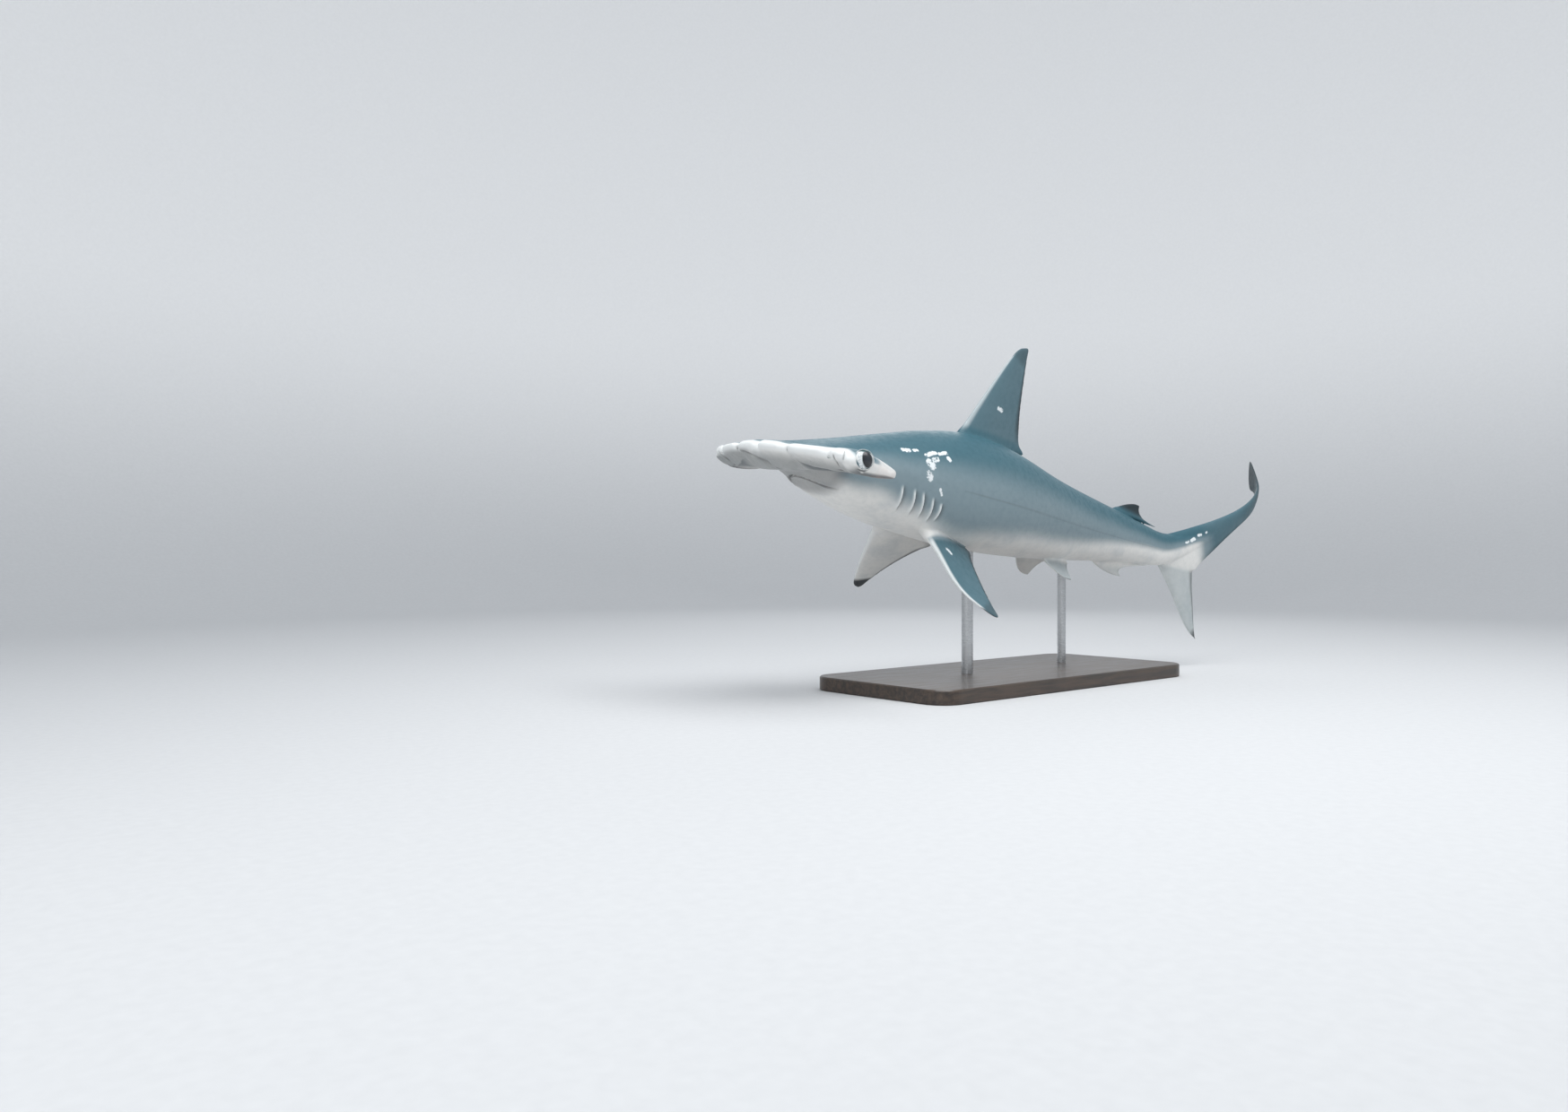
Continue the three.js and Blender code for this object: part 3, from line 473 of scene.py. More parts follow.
def relaxed(points, edges, weight, rounds, push=0.0):
    """Corners moved towards the mean of their neighbours, as far as each one's weight says."""
    part = np.where(weight > 1e-3)[0]
    inside = np.zeros(len(points), bool)
    inside[part] = True
    near = edges[inside[edges[:, 0]] | inside[edges[:, 1]]]
    used = np.unique(near)
    local = np.full(len(points), -1)
    local[used] = np.arange(len(used))
    first, second = local[near[:, 0]], local[near[:, 1]]
    size = len(used)
    count = np.maximum(np.bincount(first, minlength=size) + np.bincount(second, minlength=size), 1)
    share = weight[used][:, None]
    at = points[used]
    for turn in range(rounds):
        mean = np.empty_like(at)
        for axis in range(3):
            total = np.bincount(first, at[second, axis], size) + np.bincount(second, at[first, axis], size)
            mean[:, axis] = total / count
        at = at + (mean - at) * share * (0.5 if turn % 2 == 0 or not push else -push)
    result = points.copy()
    result[used] = at
    return result


# The straight animal


def body_middle(s):
    """Height of the middle of the body in millimetres."""
    return curve(BODY, s, 4) * length()


def body_depth(s, upward):
    """Depth of the body above its middle, or below it where upward is below 0, in millimetres."""
    return np.where(upward >= 0, curve(BODY, s, 1), curve(BODY, s, 2)) * length()


def body_ring(s, angle):
    """Width and height of the body's surface at a distance and an angle above the side."""
    c, q = np.cos(angle), np.sin(angle)
    exponent = 2 / np.where(q >= 0, TOP_POWER, BOTTOM_POWER)
    half = curve(BODY, s, 3) * length()
    return half * power(c, exponent), body_depth(s, q) * power(q, exponent) + body_middle(s)


def body_sheet():
    """Body from snout to the end of the tail stem."""
    s = np.concatenate([
        [BODY_START], np.linspace(0.0095, 0.03, 14), np.linspace(0.033, 0.80, 330), [BODY_END],
    ])
    full = np.clip(np.sqrt(np.clip((s - BODY_START) / 0.024, 0, 1)) * 1.02, 0, 1)
    full = full * np.clip((BODY_END - s) / 0.004, 0, 1)
    angle = np.linspace(0, 2 * np.pi, 145)[:-1]
    y, z = body_ring(s[:, None], angle[None, :])
    middle = body_middle(s)[:, None]
    y = y * full[:, None]
    z = middle + (z - middle) * full[:, None]
    x = np.broadcast_to(-s[:, None] * length(), y.shape)
    return closed_sheet(np.stack([x, y, z], 2))


def blade_front(share):
    """Distance back from the nose to the front edge of the blade."""
    notch = sum(depth * bell(share - at, width) for at, width, depth in BLADE_NOTCHES)
    return BLADE_ARCH * share**1.9 + notch


def half_span():
    """Half the width of the head in millimetres."""
    return bpy.context.scene.shark.head_span * 500


def blade_sheet():
    """Blade of the head, from one end to the other."""
    half_side = np.concatenate([np.linspace(0, 0.88, 150), 1 - 0.12 * np.linspace(1, 0, 46)[1:] ** 2])
    shares = np.concatenate([-half_side[:0:-1], half_side])
    share = np.abs(shares)[:, None]
    blunt = np.clip((share - 1 + BLADE_BLUNT) / BLADE_BLUNT, 0, 1)
    full = np.sqrt(np.maximum(0, 1 - blunt**2.6))
    rear = BLADE_REAR + (BLADE_REAR_TIP - BLADE_REAR) * share**2
    front = blade_front(share)
    middle = (front + rear) / 2
    half = (rear - front) / 2 * (0.25 + 0.75 * full) * np.minimum(1, full * 6)
    steps = 56
    c, face = chord_loop(steps)
    face[0, steps - 1] = 0
    keel = BLADE_KEEL[0] + (1 - BLADE_KEEL[0]) * smooth(0, BLADE_KEEL[1], c)
    depth = np.where(face > 0, curve(BLADE_THICK, share, 1), curve(BLADE_THICK, share, 2) * keel)
    thick = depth * 2 * full
    edge = (BLADE_EDGE[0] + (BLADE_EDGE[1] - BLADE_EDGE[0]) * share**2) * c * full
    droop = curve(BLADE_THICK, share, 3) * c
    level = -BLADE_DROP - BLADE_TIP_DROP * share**2
    z = face * (foil(c) * thick + edge) + level - droop
    x = -(middle + half * (2 * c - 1)) * length()
    y = np.broadcast_to(shares[:, None] * half_span(), z.shape)
    return closed_sheet(np.stack([x, y, z], 2))


def eye_frame(side):
    """Centre of an eye and the direction it looks out."""
    centre = np.array([-EYE_S * length(), side * (half_span() - EYE_INSET), EYE_HEIGHT])
    return centre, np.array([math.sin(EYE_TOE), side * math.cos(EYE_TOE), 0.0])


def ball_sheet(centre, radii, rows=48, around=64):
    """Closed ball with three radii."""
    up = np.linspace(np.pi / 2, -np.pi / 2, rows)[:, None]
    turn = np.linspace(0, 2 * np.pi, around + 1)[None, :-1]
    shape = np.stack([np.cos(up) * np.cos(turn), np.cos(up) * np.sin(turn), np.sin(up) + 0 * turn], 2)
    return closed_sheet(shape * np.array(radii, float) + np.array(centre, float))


def axes_about(direction):
    """Two directions square to a third: rearward and upward."""
    upward = np.array([0.0, 0.0, 1.0])
    across = np.cross(direction, upward)
    across /= np.linalg.norm(across)
    return across, np.cross(across, direction)


def ring_sheet(centre, direction, radius, tube, around=96, section=20):
    """Ring about a direction, as corners and triangles."""
    across, upward = axes_about(direction)
    turn = np.linspace(0, 2 * np.pi, around + 1)[:-1][:, None, None]
    bend = np.linspace(0, 2 * np.pi, section + 1)[:-1][None, :, None]
    radial = np.cos(turn) * across + np.sin(turn) * upward
    points = centre + radial * (radius + tube * np.cos(bend)) + direction * tube * np.sin(bend)
    index = np.arange(around * section).reshape(around, section)
    along, beside = np.roll(index, -1, 0), np.roll(index, -1, 1)
    both = np.roll(along, -1, 1)
    one = np.stack([index, along, both], 2).reshape(-1, 3)
    two = np.stack([index, both, beside], 2).reshape(-1, 3)
    return points.reshape(-1, 3), np.concatenate([one, two])


# Fins: each knows its place, its half thickness and how to read a point in its own terms


def ridge_place(name):
    """Places fin points, and reads them back, for a fin on the middle line."""
    s, z, slope, sign = RIDGES[name]
    size = length()

    def put(along, up, aside):
        back = along - s * size
        return np.stack([-(along + sign * up * slope), aside, sign * (z * size + up) - slope * back], -1)

    def read(points):
        back = -points[:, 0] - s * size
        up = sign * (points[:, 2] - sign * z * size + slope * back) / (1 + slope**2)
        return -points[:, 0] - sign * up * slope, up, points[:, 1]

    return put, read


def lobe_place():
    """Places and reads points of the lower tail lobe."""

    def put(along, up, aside):
        return np.stack([-along, aside, -up], -1)

    def read(points):
        return -points[:, 0], -points[:, 2], points[:, 1]

    return put, read


def paired_place(name, side):
    """Places and reads points of a paired fin."""
    s, y, z, inward, climb = PAIRED[name]
    size = length()
    droop = math.radians(DROOP[name][0 if side > 0 else 1])
    c, q = math.cos(droop), math.sin(droop)
    twist = PECTORAL_TWIST[0] if name == "pectoral_fin" and side > 0 else 0
    top = (PECTORAL if name == "pectoral_fin" else PELVIC)[-1][0] * size

    def lift(along, up):
        ahead = np.maximum(PECTORAL_TWIST[1] * size - along, 0)
        return twist * ahead * np.sin(np.pi * np.clip(up / top, 0, 1) ** 1.8)

    def put(along, up, level):
        back = along - s * size
        aside = level - lift(along, up)
        wide = side * (y * size - inward * back + up * c + aside * q)
        return np.stack([-along, wide, z * size + climb * back - up * q + aside * c], -1)

    def read(points):
        along = -points[:, 0]
        back = along - s * size
        wide = side * points[:, 1] - y * size + inward * back
        tall = points[:, 2] - z * size - climb * back
        up = wide * c - tall * q
        return along, up, wide * q + tall * c + lift(along, up)

    return put, read


def fin_half(fin, c, h):
    """Half thickness of a fin, and the same while it is meshed."""
    root, tip, flare = FIN_THICK[fin.name]
    top = fin.rows[-1][0]
    thick = root + (tip - root) * np.clip(h / top, 0, 1)
    thick = thick + flare * np.exp(-np.maximum(h, 0) * length() / FLARE_REACH)
    real = foil(c) * thick + TRAILING_EDGE / 2 * c
    return real, np.maximum(real, MESHED_HALF * np.sqrt(np.minimum(1, c / 0.05)))


def fin_sheet(fin):
    """One fin, thick enough to be meshed."""
    count = 120
    top, low = fin.rows[-1][0], fin.rows[0][0]
    h = (low + (top - low) * (1 - (1 - np.linspace(0, 1, count)) ** 1.6))[:, None]
    c, face = chord_loop(44)
    front, rear = curve(fin.rows, h, 1), curve(fin.rows, h, 2)
    half = fin_half(fin, c, h)[1]
    closing = open_rings(count)
    along = front + (rear - front) * (0.5 + (c - 0.5) * closing)
    return closed_sheet(fin.put(along * length(), h * length() + 0 * c, face * half * closing))


def upper_lobe_half(c, half):
    """Half thickness of the upper lobe, and the same while it is meshed."""
    real = foil(c) * 2 * half * length() + TRAILING_EDGE / 2 * c
    return real, np.maximum(real, MESHED_HALF * np.sqrt(np.minimum(1, c / 0.08)))


def lobe_curl(along):
    """Rise of the upper lobe's curled end, as a share of the length."""
    return UPPER_LOBE_CURL[1] * np.maximum(along - UPPER_LOBE_CURL[0], 0) ** 2


def upper_lobe_sheet():
    """Upper lobe of the tail fin."""
    count = 220
    rise = math.radians(UPPER_LOBE_RISE)
    first, last = UPPER_LOBE[0][0], UPPER_LOBE[-1][0]
    along = (first + (last - first) * np.linspace(0, 1, count))[:, None]
    c, face = chord_loop(44)
    upper, lower = curve(UPPER_LOBE, along, 1), curve(UPPER_LOBE, along, 2)
    closing = open_rings(count)
    off = upper + (lower - upper) * (0.5 + (c - 0.5) * closing)
    s = UPPER_LOBE_S + along * math.cos(rise) - off * math.sin(rise)
    z = along * math.sin(rise) + off * math.cos(rise) + lobe_curl(along)
    half = upper_lobe_half(c, curve(UPPER_LOBE, along, 3))[1]
    return closed_sheet(np.stack([-s * length(), face * half * closing, z * length()], -1))


def read_upper_lobe(points):
    """Distance along the upper lobe, share of the way to its lower edge, and its depth there."""
    rise = math.radians(UPPER_LOBE_RISE)
    s, z = -points[:, 0] / length() - UPPER_LOBE_S, points[:, 2] / length()
    along = s * math.cos(rise) + z * math.sin(rise)
    for _ in range(6):
        curl = lobe_curl(along)
        along = s * math.cos(rise) + (z - curl) * math.sin(rise)
    off = (z - curl) * math.cos(rise) - s * math.sin(rise)
    upper, lower = curve(UPPER_LOBE, along, 1), curve(UPPER_LOBE, along, 2)
    c = np.clip((off - upper) / np.minimum(lower - upper, -1e-5), -0.3, 1.3)
    return along, c, upper - lower


def all_fins():
    """Every fin that is drawn from an outline."""
    ridges = {"dorsal_fin_1": FIRST_DORSAL, "dorsal_fin_2": SECOND_DORSAL, "anal_fin": ANAL}
    fins = [Fin(name, rows, *ridge_place(name), 0) for name, rows in ridges.items()]
    fins.append(Fin("caudal_lower_lobe", LOWER_LOBE, *lobe_place(), 0))
    for side in (1, -1):
        for name, rows in (("pectoral_fin", PECTORAL), ("pelvic_fin", PELVIC)):
            fins.append(Fin(name, rows, *paired_place(name, side), side))
    return fins


def fin_terms(fin, points):
    """Height share, chord share, side offset and a mask of the points on a fin."""
    along, up, aside = fin.read(points)
    h = up / length()
    front, rear = curve(fin.rows, h, 1), curve(fin.rows, h, 2)
    c = (along / length() - front) / (rear - front)
    margin = FIN_MARGIN / length()
    slack = margin / (rear - front)
    on = (h > fin.rows[1][0] - margin) & (h < fin.rows[-1][0] + margin) & (c > -slack) & (c < 1 + slack)
    return h, np.clip(c, 0, 1), aside, on


def body_half_at(points):
    """Half width of the plain body at the height of each point, 0 outside it."""
    s = -points[:, 0] / length()
    z = points[:, 2] - body_middle(s)
    exponent = np.where(z >= 0, TOP_POWER, BOTTOM_POWER)
    share = np.clip(1 - np.clip(np.abs(z) / body_depth(s, z), 0, 1) ** exponent, 0, 1) ** (1 / exponent)
    return np.where(s < BODY_END, share * curve(BODY, s, 3) * length(), 0)


def thin_fins(points):
    """Gives the meshed fins back their real thickness."""
    real = body_half_at(points)
    meshed = real.copy()
    lean = np.zeros(len(points), bool)
    fins = all_fins()
    for fin in [fin for fin in fins if fin.side == 0]:
        h, c, aside, on = fin_terms(fin, points)
        true_half, thick_half = fin_half(fin, c, h)
        on &= np.abs(aside) < thick_half + 5
        real = np.where(on, np.maximum(real, true_half), real)
        meshed = np.where(on, np.maximum(meshed, thick_half), meshed)
        lean |= on
    along, c, depth = read_upper_lobe(points)
    on = (along > 0) & (along < 0.297) & (np.abs(c - 0.5) < 0.5 + 4.5 / length() / (depth + 1e-5))
    true_half, thick_half = upper_lobe_half(np.clip(c, 0, 1), curve(UPPER_LOBE, along, 3))
    real = np.where(on, np.maximum(real, true_half), real)
    meshed = np.where(on, np.maximum(meshed, thick_half), meshed)
    lean |= on
    moved = points.copy()
    moved[:, 1] *= np.where(lean & (meshed > 0.1), real / np.maximum(meshed, 0.1), 1)
    for fin in [fin for fin in fins if fin.side]:
        h, c, aside, on = fin_terms(fin, points)
        true_half, thick_half = fin_half(fin, c, h)
        on &= (np.abs(aside) < thick_half + 5) & (h > 0.004) & (points[:, 1] * fin.side > 0)
        along, up = fin.read(points[on])[:2]
        fade = smooth(0.004, 0.016, h[on])
        share = 1 + (true_half[on] / np.maximum(thick_half[on], 0.1) - 1) * fade
        moved[on] = fin.put(along, up, aside[on] * share)
    return moved


def fin_edges(points):
    """1 at the rear edges and ends of the fins, 0 elsewhere."""
    weight = np.zeros(len(points))
    for fin in all_fins():
        h, c, aside, on = fin_terms(fin, points)
        on &= np.abs(aside) < fin_half(fin, c, h)[0] + 5
        if fin.side:
            on &= points[:, 1] * fin.side > 0
        near = np.maximum(smooth(0.80, 0.95, c), smooth(0.93, 1.0, h / fin.rows[-1][0]))
        weight = np.maximum(weight, on * near * smooth(0.001, 0.006, h))
    return weight


def flesh_sheets():
    """Closed surfaces of the body, head, lids and fins, which the skin is meshed around."""
    mounds, lids = [], []
    out_by, radius, tube = LID_RING
    for side in (1, -1):
        centre, out = eye_frame(side)
        middle = (-EYE_S * length(), side * (half_span() - MOUND_INSET), MOUND_HEIGHT)
        mounds.append(ball_sheet(middle, MOUND_RADII))
        lids.append(ring_sheet(centre + out * out_by, out, radius, tube))
    fins = [fin_sheet(fin) for fin in all_fins()]
    return [body_sheet(), blade_sheet(), *mounds, *lids, *fins, upper_lobe_sheet()]


def smoothed(at, edges):
    """The meshed skin made even, and then smoother behind the wings, at the rim and at fin edges."""
    at = relaxed(at, edges, np.ones(len(at)), EVEN_ROUNDS, 0.52)
    s = -at[:, 0] / length()
    beside = np.abs(at[:, 1])
    corner = smooth(0.045, 0.075, s) * (1 - smooth(0.12, 0.15, s))
    corner = corner * smooth(70, 95, beside) * (1 - smooth(150, 190, beside))
    at = relaxed(at, edges, corner, CORNER_ROUNDS)
    share = beside / half_span()
    rim = 1 - smooth(0.012, 0.026, s - blade_front(np.minimum(share, 1)))
    at = relaxed(at, edges, rim * (1 - smooth(0.84, 0.90, share)), RIM_ROUNDS)
    tip = smooth(0.80, 0.88, share) * smooth(0.050, 0.064, s) * (s < 0.1)
    at = relaxed(at, edges, tip, TIP_ROUNDS)
    return relaxed(at, edges, fin_edges(at), EDGE_ROUNDS)


# From the straight animal to the pose


def spine():
    """Share of the length, place and heading along the bent spine."""
    share = np.linspace(0, 1, 501)
    turn = np.radians(curve(HEADING, share, 1))
    middle = (turn[1:] + turn[:-1]) / 2
    step = length() / 500
    x = np.concatenate([[0], -np.cumsum(np.cos(middle)) * step])
    y = np.concatenate([[0], np.cumsum(np.sin(middle)) * step])
    return share, x, y, turn


def bent(points):
    """Straight animal to bent animal."""
    share, x, y, turn = spine()
    s = np.clip(-points[:, 0] / length(), 0, 1)
    at = np.interp(s, share, turn)
    ahead = np.maximum(points[:, 0], 0)
    roll = np.radians(curve(TWIST, s, 1))
    wide = points[:, 1] * np.cos(roll) - points[:, 2] * np.sin(roll)
    tall = points[:, 1] * np.sin(roll) + points[:, 2] * np.cos(roll)
    return np.stack([
        np.interp(s, share, x) + np.sin(at) * wide + ahead * np.cos(at),
        np.interp(s, share, y) + np.cos(at) * wide - ahead * np.sin(at),
        tall,
    ], 1)


def posed(points):
    """Straight animal to its pose above the floor, in metres."""
    pivot = bent(np.array([[-PIVOT_S * length(), 0.0, 0.0]]))
    axis = Vector((-BANK_DEG, -PITCH_DEG, 0))
    tilt = np.array(Matrix.Rotation(math.radians(axis.length), 3, axis.normalized()))
    return ((bent(points) - pivot) @ tilt.T + [0, 0, PIVOT_HEIGHT]) / 1000


# Finer mesh where the detail is


def fineness_scale():
    """Distance from the nose before and after the stretch that gives the head more mesh."""
    s = np.linspace(0, 1.02, 2041)
    factor = curve(FINENESS, s, 1)
    stretched = np.concatenate([[0], np.cumsum((factor[1:] + factor[:-1]) / 2 * np.diff(s))])
    return s, stretched, factor


def stretch(points):
    """Points in the stretched space in which the skin is meshed."""
    s, stretched, factor = fineness_scale()
    at = -points[:, 0] / length()
    scale = np.interp(at, s, factor)
    x = -np.interp(at, s, stretched) * length() + np.maximum(points[:, 0], 0) * factor[0]
    return np.stack([x, points[:, 1] * scale, points[:, 2] * scale], 1)


def unstretch(points):
    """Points back from the stretched space."""
    s, stretched, factor = fineness_scale()
    at = np.interp(-points[:, 0] / length(), stretched, s)
    scale = np.interp(at, s, factor)
    x = -at * length() + np.maximum(points[:, 0], 0) / factor[0]
    return np.stack([x, points[:, 1] / scale, points[:, 2] / scale], 1)


# Cuts in the skin


def slot_sheet(centres, inward, across, half_width, depth, proud):
    """Thin curved slot along a line of centres, as a closed surface to cut with."""
    half = half_width[:, None]
    corners = [
        centres - inward * proud + across * half, centres - inward * proud - across * half,
        centres + inward * depth[:, None] - across * half * 0.5,
        centres + inward * depth[:, None] + across * half * 0.5,
    ]
    rings = np.stack(corners, 1)
    first = np.broadcast_to(rings[:1].mean(1, keepdims=True), (1, 4, 3))
    last = np.broadcast_to(rings[-1:].mean(1, keepdims=True), (1, 4, 3))
    return outward(*closed_sheet(np.concatenate([first, rings, last])))


def gill_line(gill, side, count=25, reach=0.92):
    """Points down one gill slit on the plain body, and the body's outward direction there."""
    s0, mid, half, lean = gill
    off = np.linspace(1, -1, count) * half * reach
    s = s0 + lean * off
    z = (mid + off) * length()
    tall = curve(BODY, s, 2) * length()
    wide = curve(BODY, s, 3) * length()
    y = wide * np.clip(1 - (np.abs(z) / tall) ** BOTTOM_POWER, 0, 1) ** (1 / BOTTOM_POWER)
    out = np.stack([
        0 * y,
        (y / wide) ** (BOTTOM_POWER - 1) / wide,
        -((np.abs(z) / tall) ** (BOTTOM_POWER - 1)) / tall,
    ], 1)
    points = np.stack([-s * length(), y, z], 1)
    flip = np.array([1, side, 1])
    return points * flip, unit(out) * flip


def gill_cuts():
    """The five slits on each side."""
    cuts = []
    ahead = np.array([1.0, 0, 0])
    for side in (1, -1):
        for gill in GILLS:
            points, out = gill_line(gill, side)
            inward = unit(-out * 0.78 + ahead * 0.62)
            across = out * 0.62 + ahead * 0.78
            t = np.linspace(-1, 1, len(points))
            open_half = 0.4 + np.sqrt(np.clip(1 - t**2, 0, 1))
            depth = 3 + 10 * np.sqrt(np.clip(1 - t**2, 0, 1))
            start = points + out * 1.4 - ahead * 0.6
            cuts.append(slot_sheet(start, inward, across, open_half, depth, 9))
    return cuts


def mouth_arc(share):
    """Point of the line of the mouth in plan, by share from one corner to the other."""
    s = MOUTH_FRONT + (MOUTH_CORNER - MOUTH_FRONT) * np.abs(share) ** 2.2
    return np.stack([-s * length(), share * MOUTH_HALF * length()], -1)


def mouth_cut(points, normals):
    """The gap of the mouth, cut where the skin's underside meets the line of the mouth."""
    share = np.linspace(-0.97, 0.97, 61)
    plan = mouth_arc(share)
    under = (normals[:, 2] < -0.2) & (points[:, 0] > -260) & (np.abs(points[:, 1]) < 110)
    below = points[under]
    level = np.array([
        below[np.argsort(((below[:, :2] - at) ** 2).sum(1))[:12], 2].mean() for at in plan
    ])
    centres = np.column_stack([plan, level])
    along = unit(np.gradient(plan, axis=0))
    ahead = np.stack([along[:, 1], -along[:, 0]], 1)
    ahead *= np.sign(ahead[:, :1] + 1e-9)
    inward = unit(np.column_stack([-ahead * 0.5, np.full(len(share), 0.86)]))
    across = unit(np.column_stack([ahead * 0.86, np.full(len(share), 0.5)]))
    edge = np.sqrt(np.clip(1 - share**2, 0, 1))
    half_width = 0.4 + bpy.context.scene.shark.mouth_gap * 500 * edge**2
    return slot_sheet(centres, inward, across, half_width, 5 + 19 * edge, 12)


def nostril_cut(side):
    """Slanted hole of a nostril in the front edge of the blade."""
    share, s, z = NOSTRIL
    points, faces = ball_sheet((0, 0, 0), NOSTRIL_RADII, 24, 32)
    turn = side * NOSTRIL_TURN
    turned = np.stack([
        points[:, 0] * math.cos(turn) - points[:, 1] * math.sin(turn),
        points[:, 0] * math.sin(turn) + points[:, 1] * math.cos(turn),
        points[:, 2],
    ], 1)
    return outward(turned + [-s * length() + 1, side * share * half_span(), z], faces)


def socket_cut(side):
    """Socket of an eye, with room for the ball."""
    radius = bpy.context.scene.shark.eye_radius * 1000 + SOCKET_ROOM
    return outward(*ball_sheet(eye_frame(side)[0], (radius,) * 3, 64, 96))


def aperture_cut(side):
    """Clear way out in front of an eye."""
    centre, out = eye_frame(side)
    across, upward = axes_about(out)
    turn = np.linspace(0, 2 * np.pi, 97)[:-1][:, None]
    radius, start, end = APERTURE
    rim = (np.cos(turn) * across + np.sin(turn) * upward) * radius
    near, far = centre + out * start, centre + out * end
    rings = np.stack([near + 0 * rim, near + rim, far + rim, far + 0 * rim])
    return outward(*closed_sheet(rings))


def cut_away(made, tools):
    """The skin less the tools."""
    points, faces = together([outward(*tool) for tool in tools])
    cutter = place_object("cutter", mesh_from("cutter", points, faces))
    step = made.modifiers.new("cut", "BOOLEAN")
    step.operation = "DIFFERENCE"
    step.solver = "MANIFOLD"
    step.object = cutter
    before = len(made.data.polygons)
    applied(made)
    bpy.data.objects.remove(cutter)
    if len(made.data.polygons) < before * 0.5:
        raise RuntimeError("the cuts in the skin failed")
    return made


# Relief of the skin


def gill_terms(points):
    """For each slit: share of its reach above or below the middle, and millimetres behind it."""
    s = -points[:, 0] / length()
    for s0, mid, reach, lean in GILLS:
        off = points[:, 2] / length() - mid
        back = (s - s0 - lean * np.clip(off, -1.3 * reach, 1.3 * reach)) * length()
        yield np.abs(off) / reach, back


def gill_relief(points):
    """Lift of the gill flaps, in millimetres."""
    lift = np.zeros(len(points))
    for off, back in gill_terms(points):
        flap = smooth(-15, -3, back) * (1 - smooth(-1.5, 1.5, back)) * 4.2
        dip = -3.6 * smooth(-1.5, 1.5, back) * (1 - smooth(1, 10, back))
        lift += (flap + dip) * smooth(0, 1, 1.2 - off)
    return lift


def gill_marks(points):
    """Painted shade in the slits and painted highlight on the flaps' edges."""
    dark, pale = np.zeros(len(points)), np.zeros(len(points))
    for off, back in gill_terms(points):
        fade = smooth(0, 0.6, 1.15 - off)
        dark = np.maximum(dark, (bell(back - 2, 2.4) * 0.55 + bell(back - 7, 6) * 0.22) * fade)
        pale = np.maximum(pale, bell(back + 4.0, 3.6) * fade * 0.75)
    return dark, pale


def near_line(points, line, reach):
    """Distance of each point from a line, no more than a reach."""
    spots = np.array(line, float)
    steps = np.linspace(0, len(spots) - 1, 30 * (len(spots) - 1) + 1)
    dense = np.column_stack([np.interp(steps, np.arange(len(spots)), spots[:, k]) for k in range(3)])
    dense[:, 0] *= -length()
    result = np.full(len(points), float(reach))
    inside = (points > dense.min(0) - reach) & (points < dense.max(0) + reach)
    chosen = np.where(inside.all(1))[0]
    for part in np.array_split(chosen, len(chosen) // BATCH + 1):
        if len(part):
            gap = np.sqrt(((points[part, None] - dense[None]) ** 2).sum(2)).min(1)
            result[part] = np.minimum(gap, reach)
    return result


def head_relief(points, normals):
    """Lift of the head's folds, lobes and hollows, and the marks that go with them: painted shade in the
    folds, painted shade under the wings and below the rim, and the pale rim with painted highlight on its
    upper part.
    """
    s = -points[:, 0] / length()
    share = np.abs(points[:, 1]) / half_span()
    back = s - blade_front(np.minimum(share, 1))
    level = -BLADE_DROP - BLADE_TIP_DROP * share**2
    below = smooth(0.05, 0.55, -normals[:, 2]) * (s < 0.12)
    on_blade = 1 - smooth(0.075, 0.095, s)
    mirrored = np.stack([points[:, 0], np.abs(points[:, 1]), points[:, 2]], 1)
    lift, fold = np.zeros(len(points)), np.zeros(len(points))
    for line, depth, width, shade_strength in HEAD_FOLDS:
        spots = [[at, beside * half_span(), z] for at, beside, z in line]
        gap = near_line(points if line[0][1] < 0 else mirrored, spots, width * 4)
        lift -= depth * bell(gap, width)
        # Painted shade along each fold
        fold = np.maximum(fold, shade_strength * bell(gap, width * 0.8))
    for at, beside, z, height, width in HEAD_SWELLINGS:
        middle = np.array([-at * length(), beside * half_span(), z])
        lift += height * bell(np.sqrt(((mirrored - middle) ** 2).sum(1)), width)
    start = np.interp(share, *zip(*HOLLOW_FRONT))
    inner = np.interp(s, [0.01, 0.05], [0.345, 0.22])
    hollow = below * smooth(0, 0.005, s - start) * smooth(-0.045, 0.035, share - inner)
    lift -= HOLLOW_DEPTH * hollow * (1 - smooth(0.82, 0.94, share)) * (1 - smooth(0.055, 0.078, s))
    rim = bell(back - 0.0035, 0.0055) * on_blade * (1 - smooth(0.93, 1.0, share))
    lift += 1.6 * rim * smooth(level - 22, level - 8, points[:, 2])
    for notch in BLADE_NOTCHES[:2]:
        lift -= 2.8 * bell(share - notch[0], 0.060) * np.exp(-np.maximum(back, 0) / 0.018) * on_blade
    # Painted shade below the rim on the lower front face, in the hollows under the wings, and under the right
    # side of the blade
    chin = smooth(0, 24, level - 5 - points[:, 2]) * on_blade * (1 - smooth(0.84, 0.92, share))
    wing = hollow * (1 - smooth(0.050, 0.064, s)) * smooth(0.24, 0.50, share) * 0.9
    dusk = np.maximum(wing, 0.58 * chin * smooth(-0.2, 0.2, -normals[:, 2]))
    far_side = smooth(0.02, 0.16, -points[:, 1] / half_span() - 0.03) * below * (1 - smooth(0.060, 0.080, s))
    dusk = np.maximum(dusk, 0.60 * far_side)
    # The pale rim, with painted highlight on the upper part of its front face
    upper = smooth(level - 16, level - 2, points[:, 2])
    pale = bell(np.maximum(back, 0), 0.012) * on_blade * upper * (s < 0.1)
    return lift, fold, dusk, pale


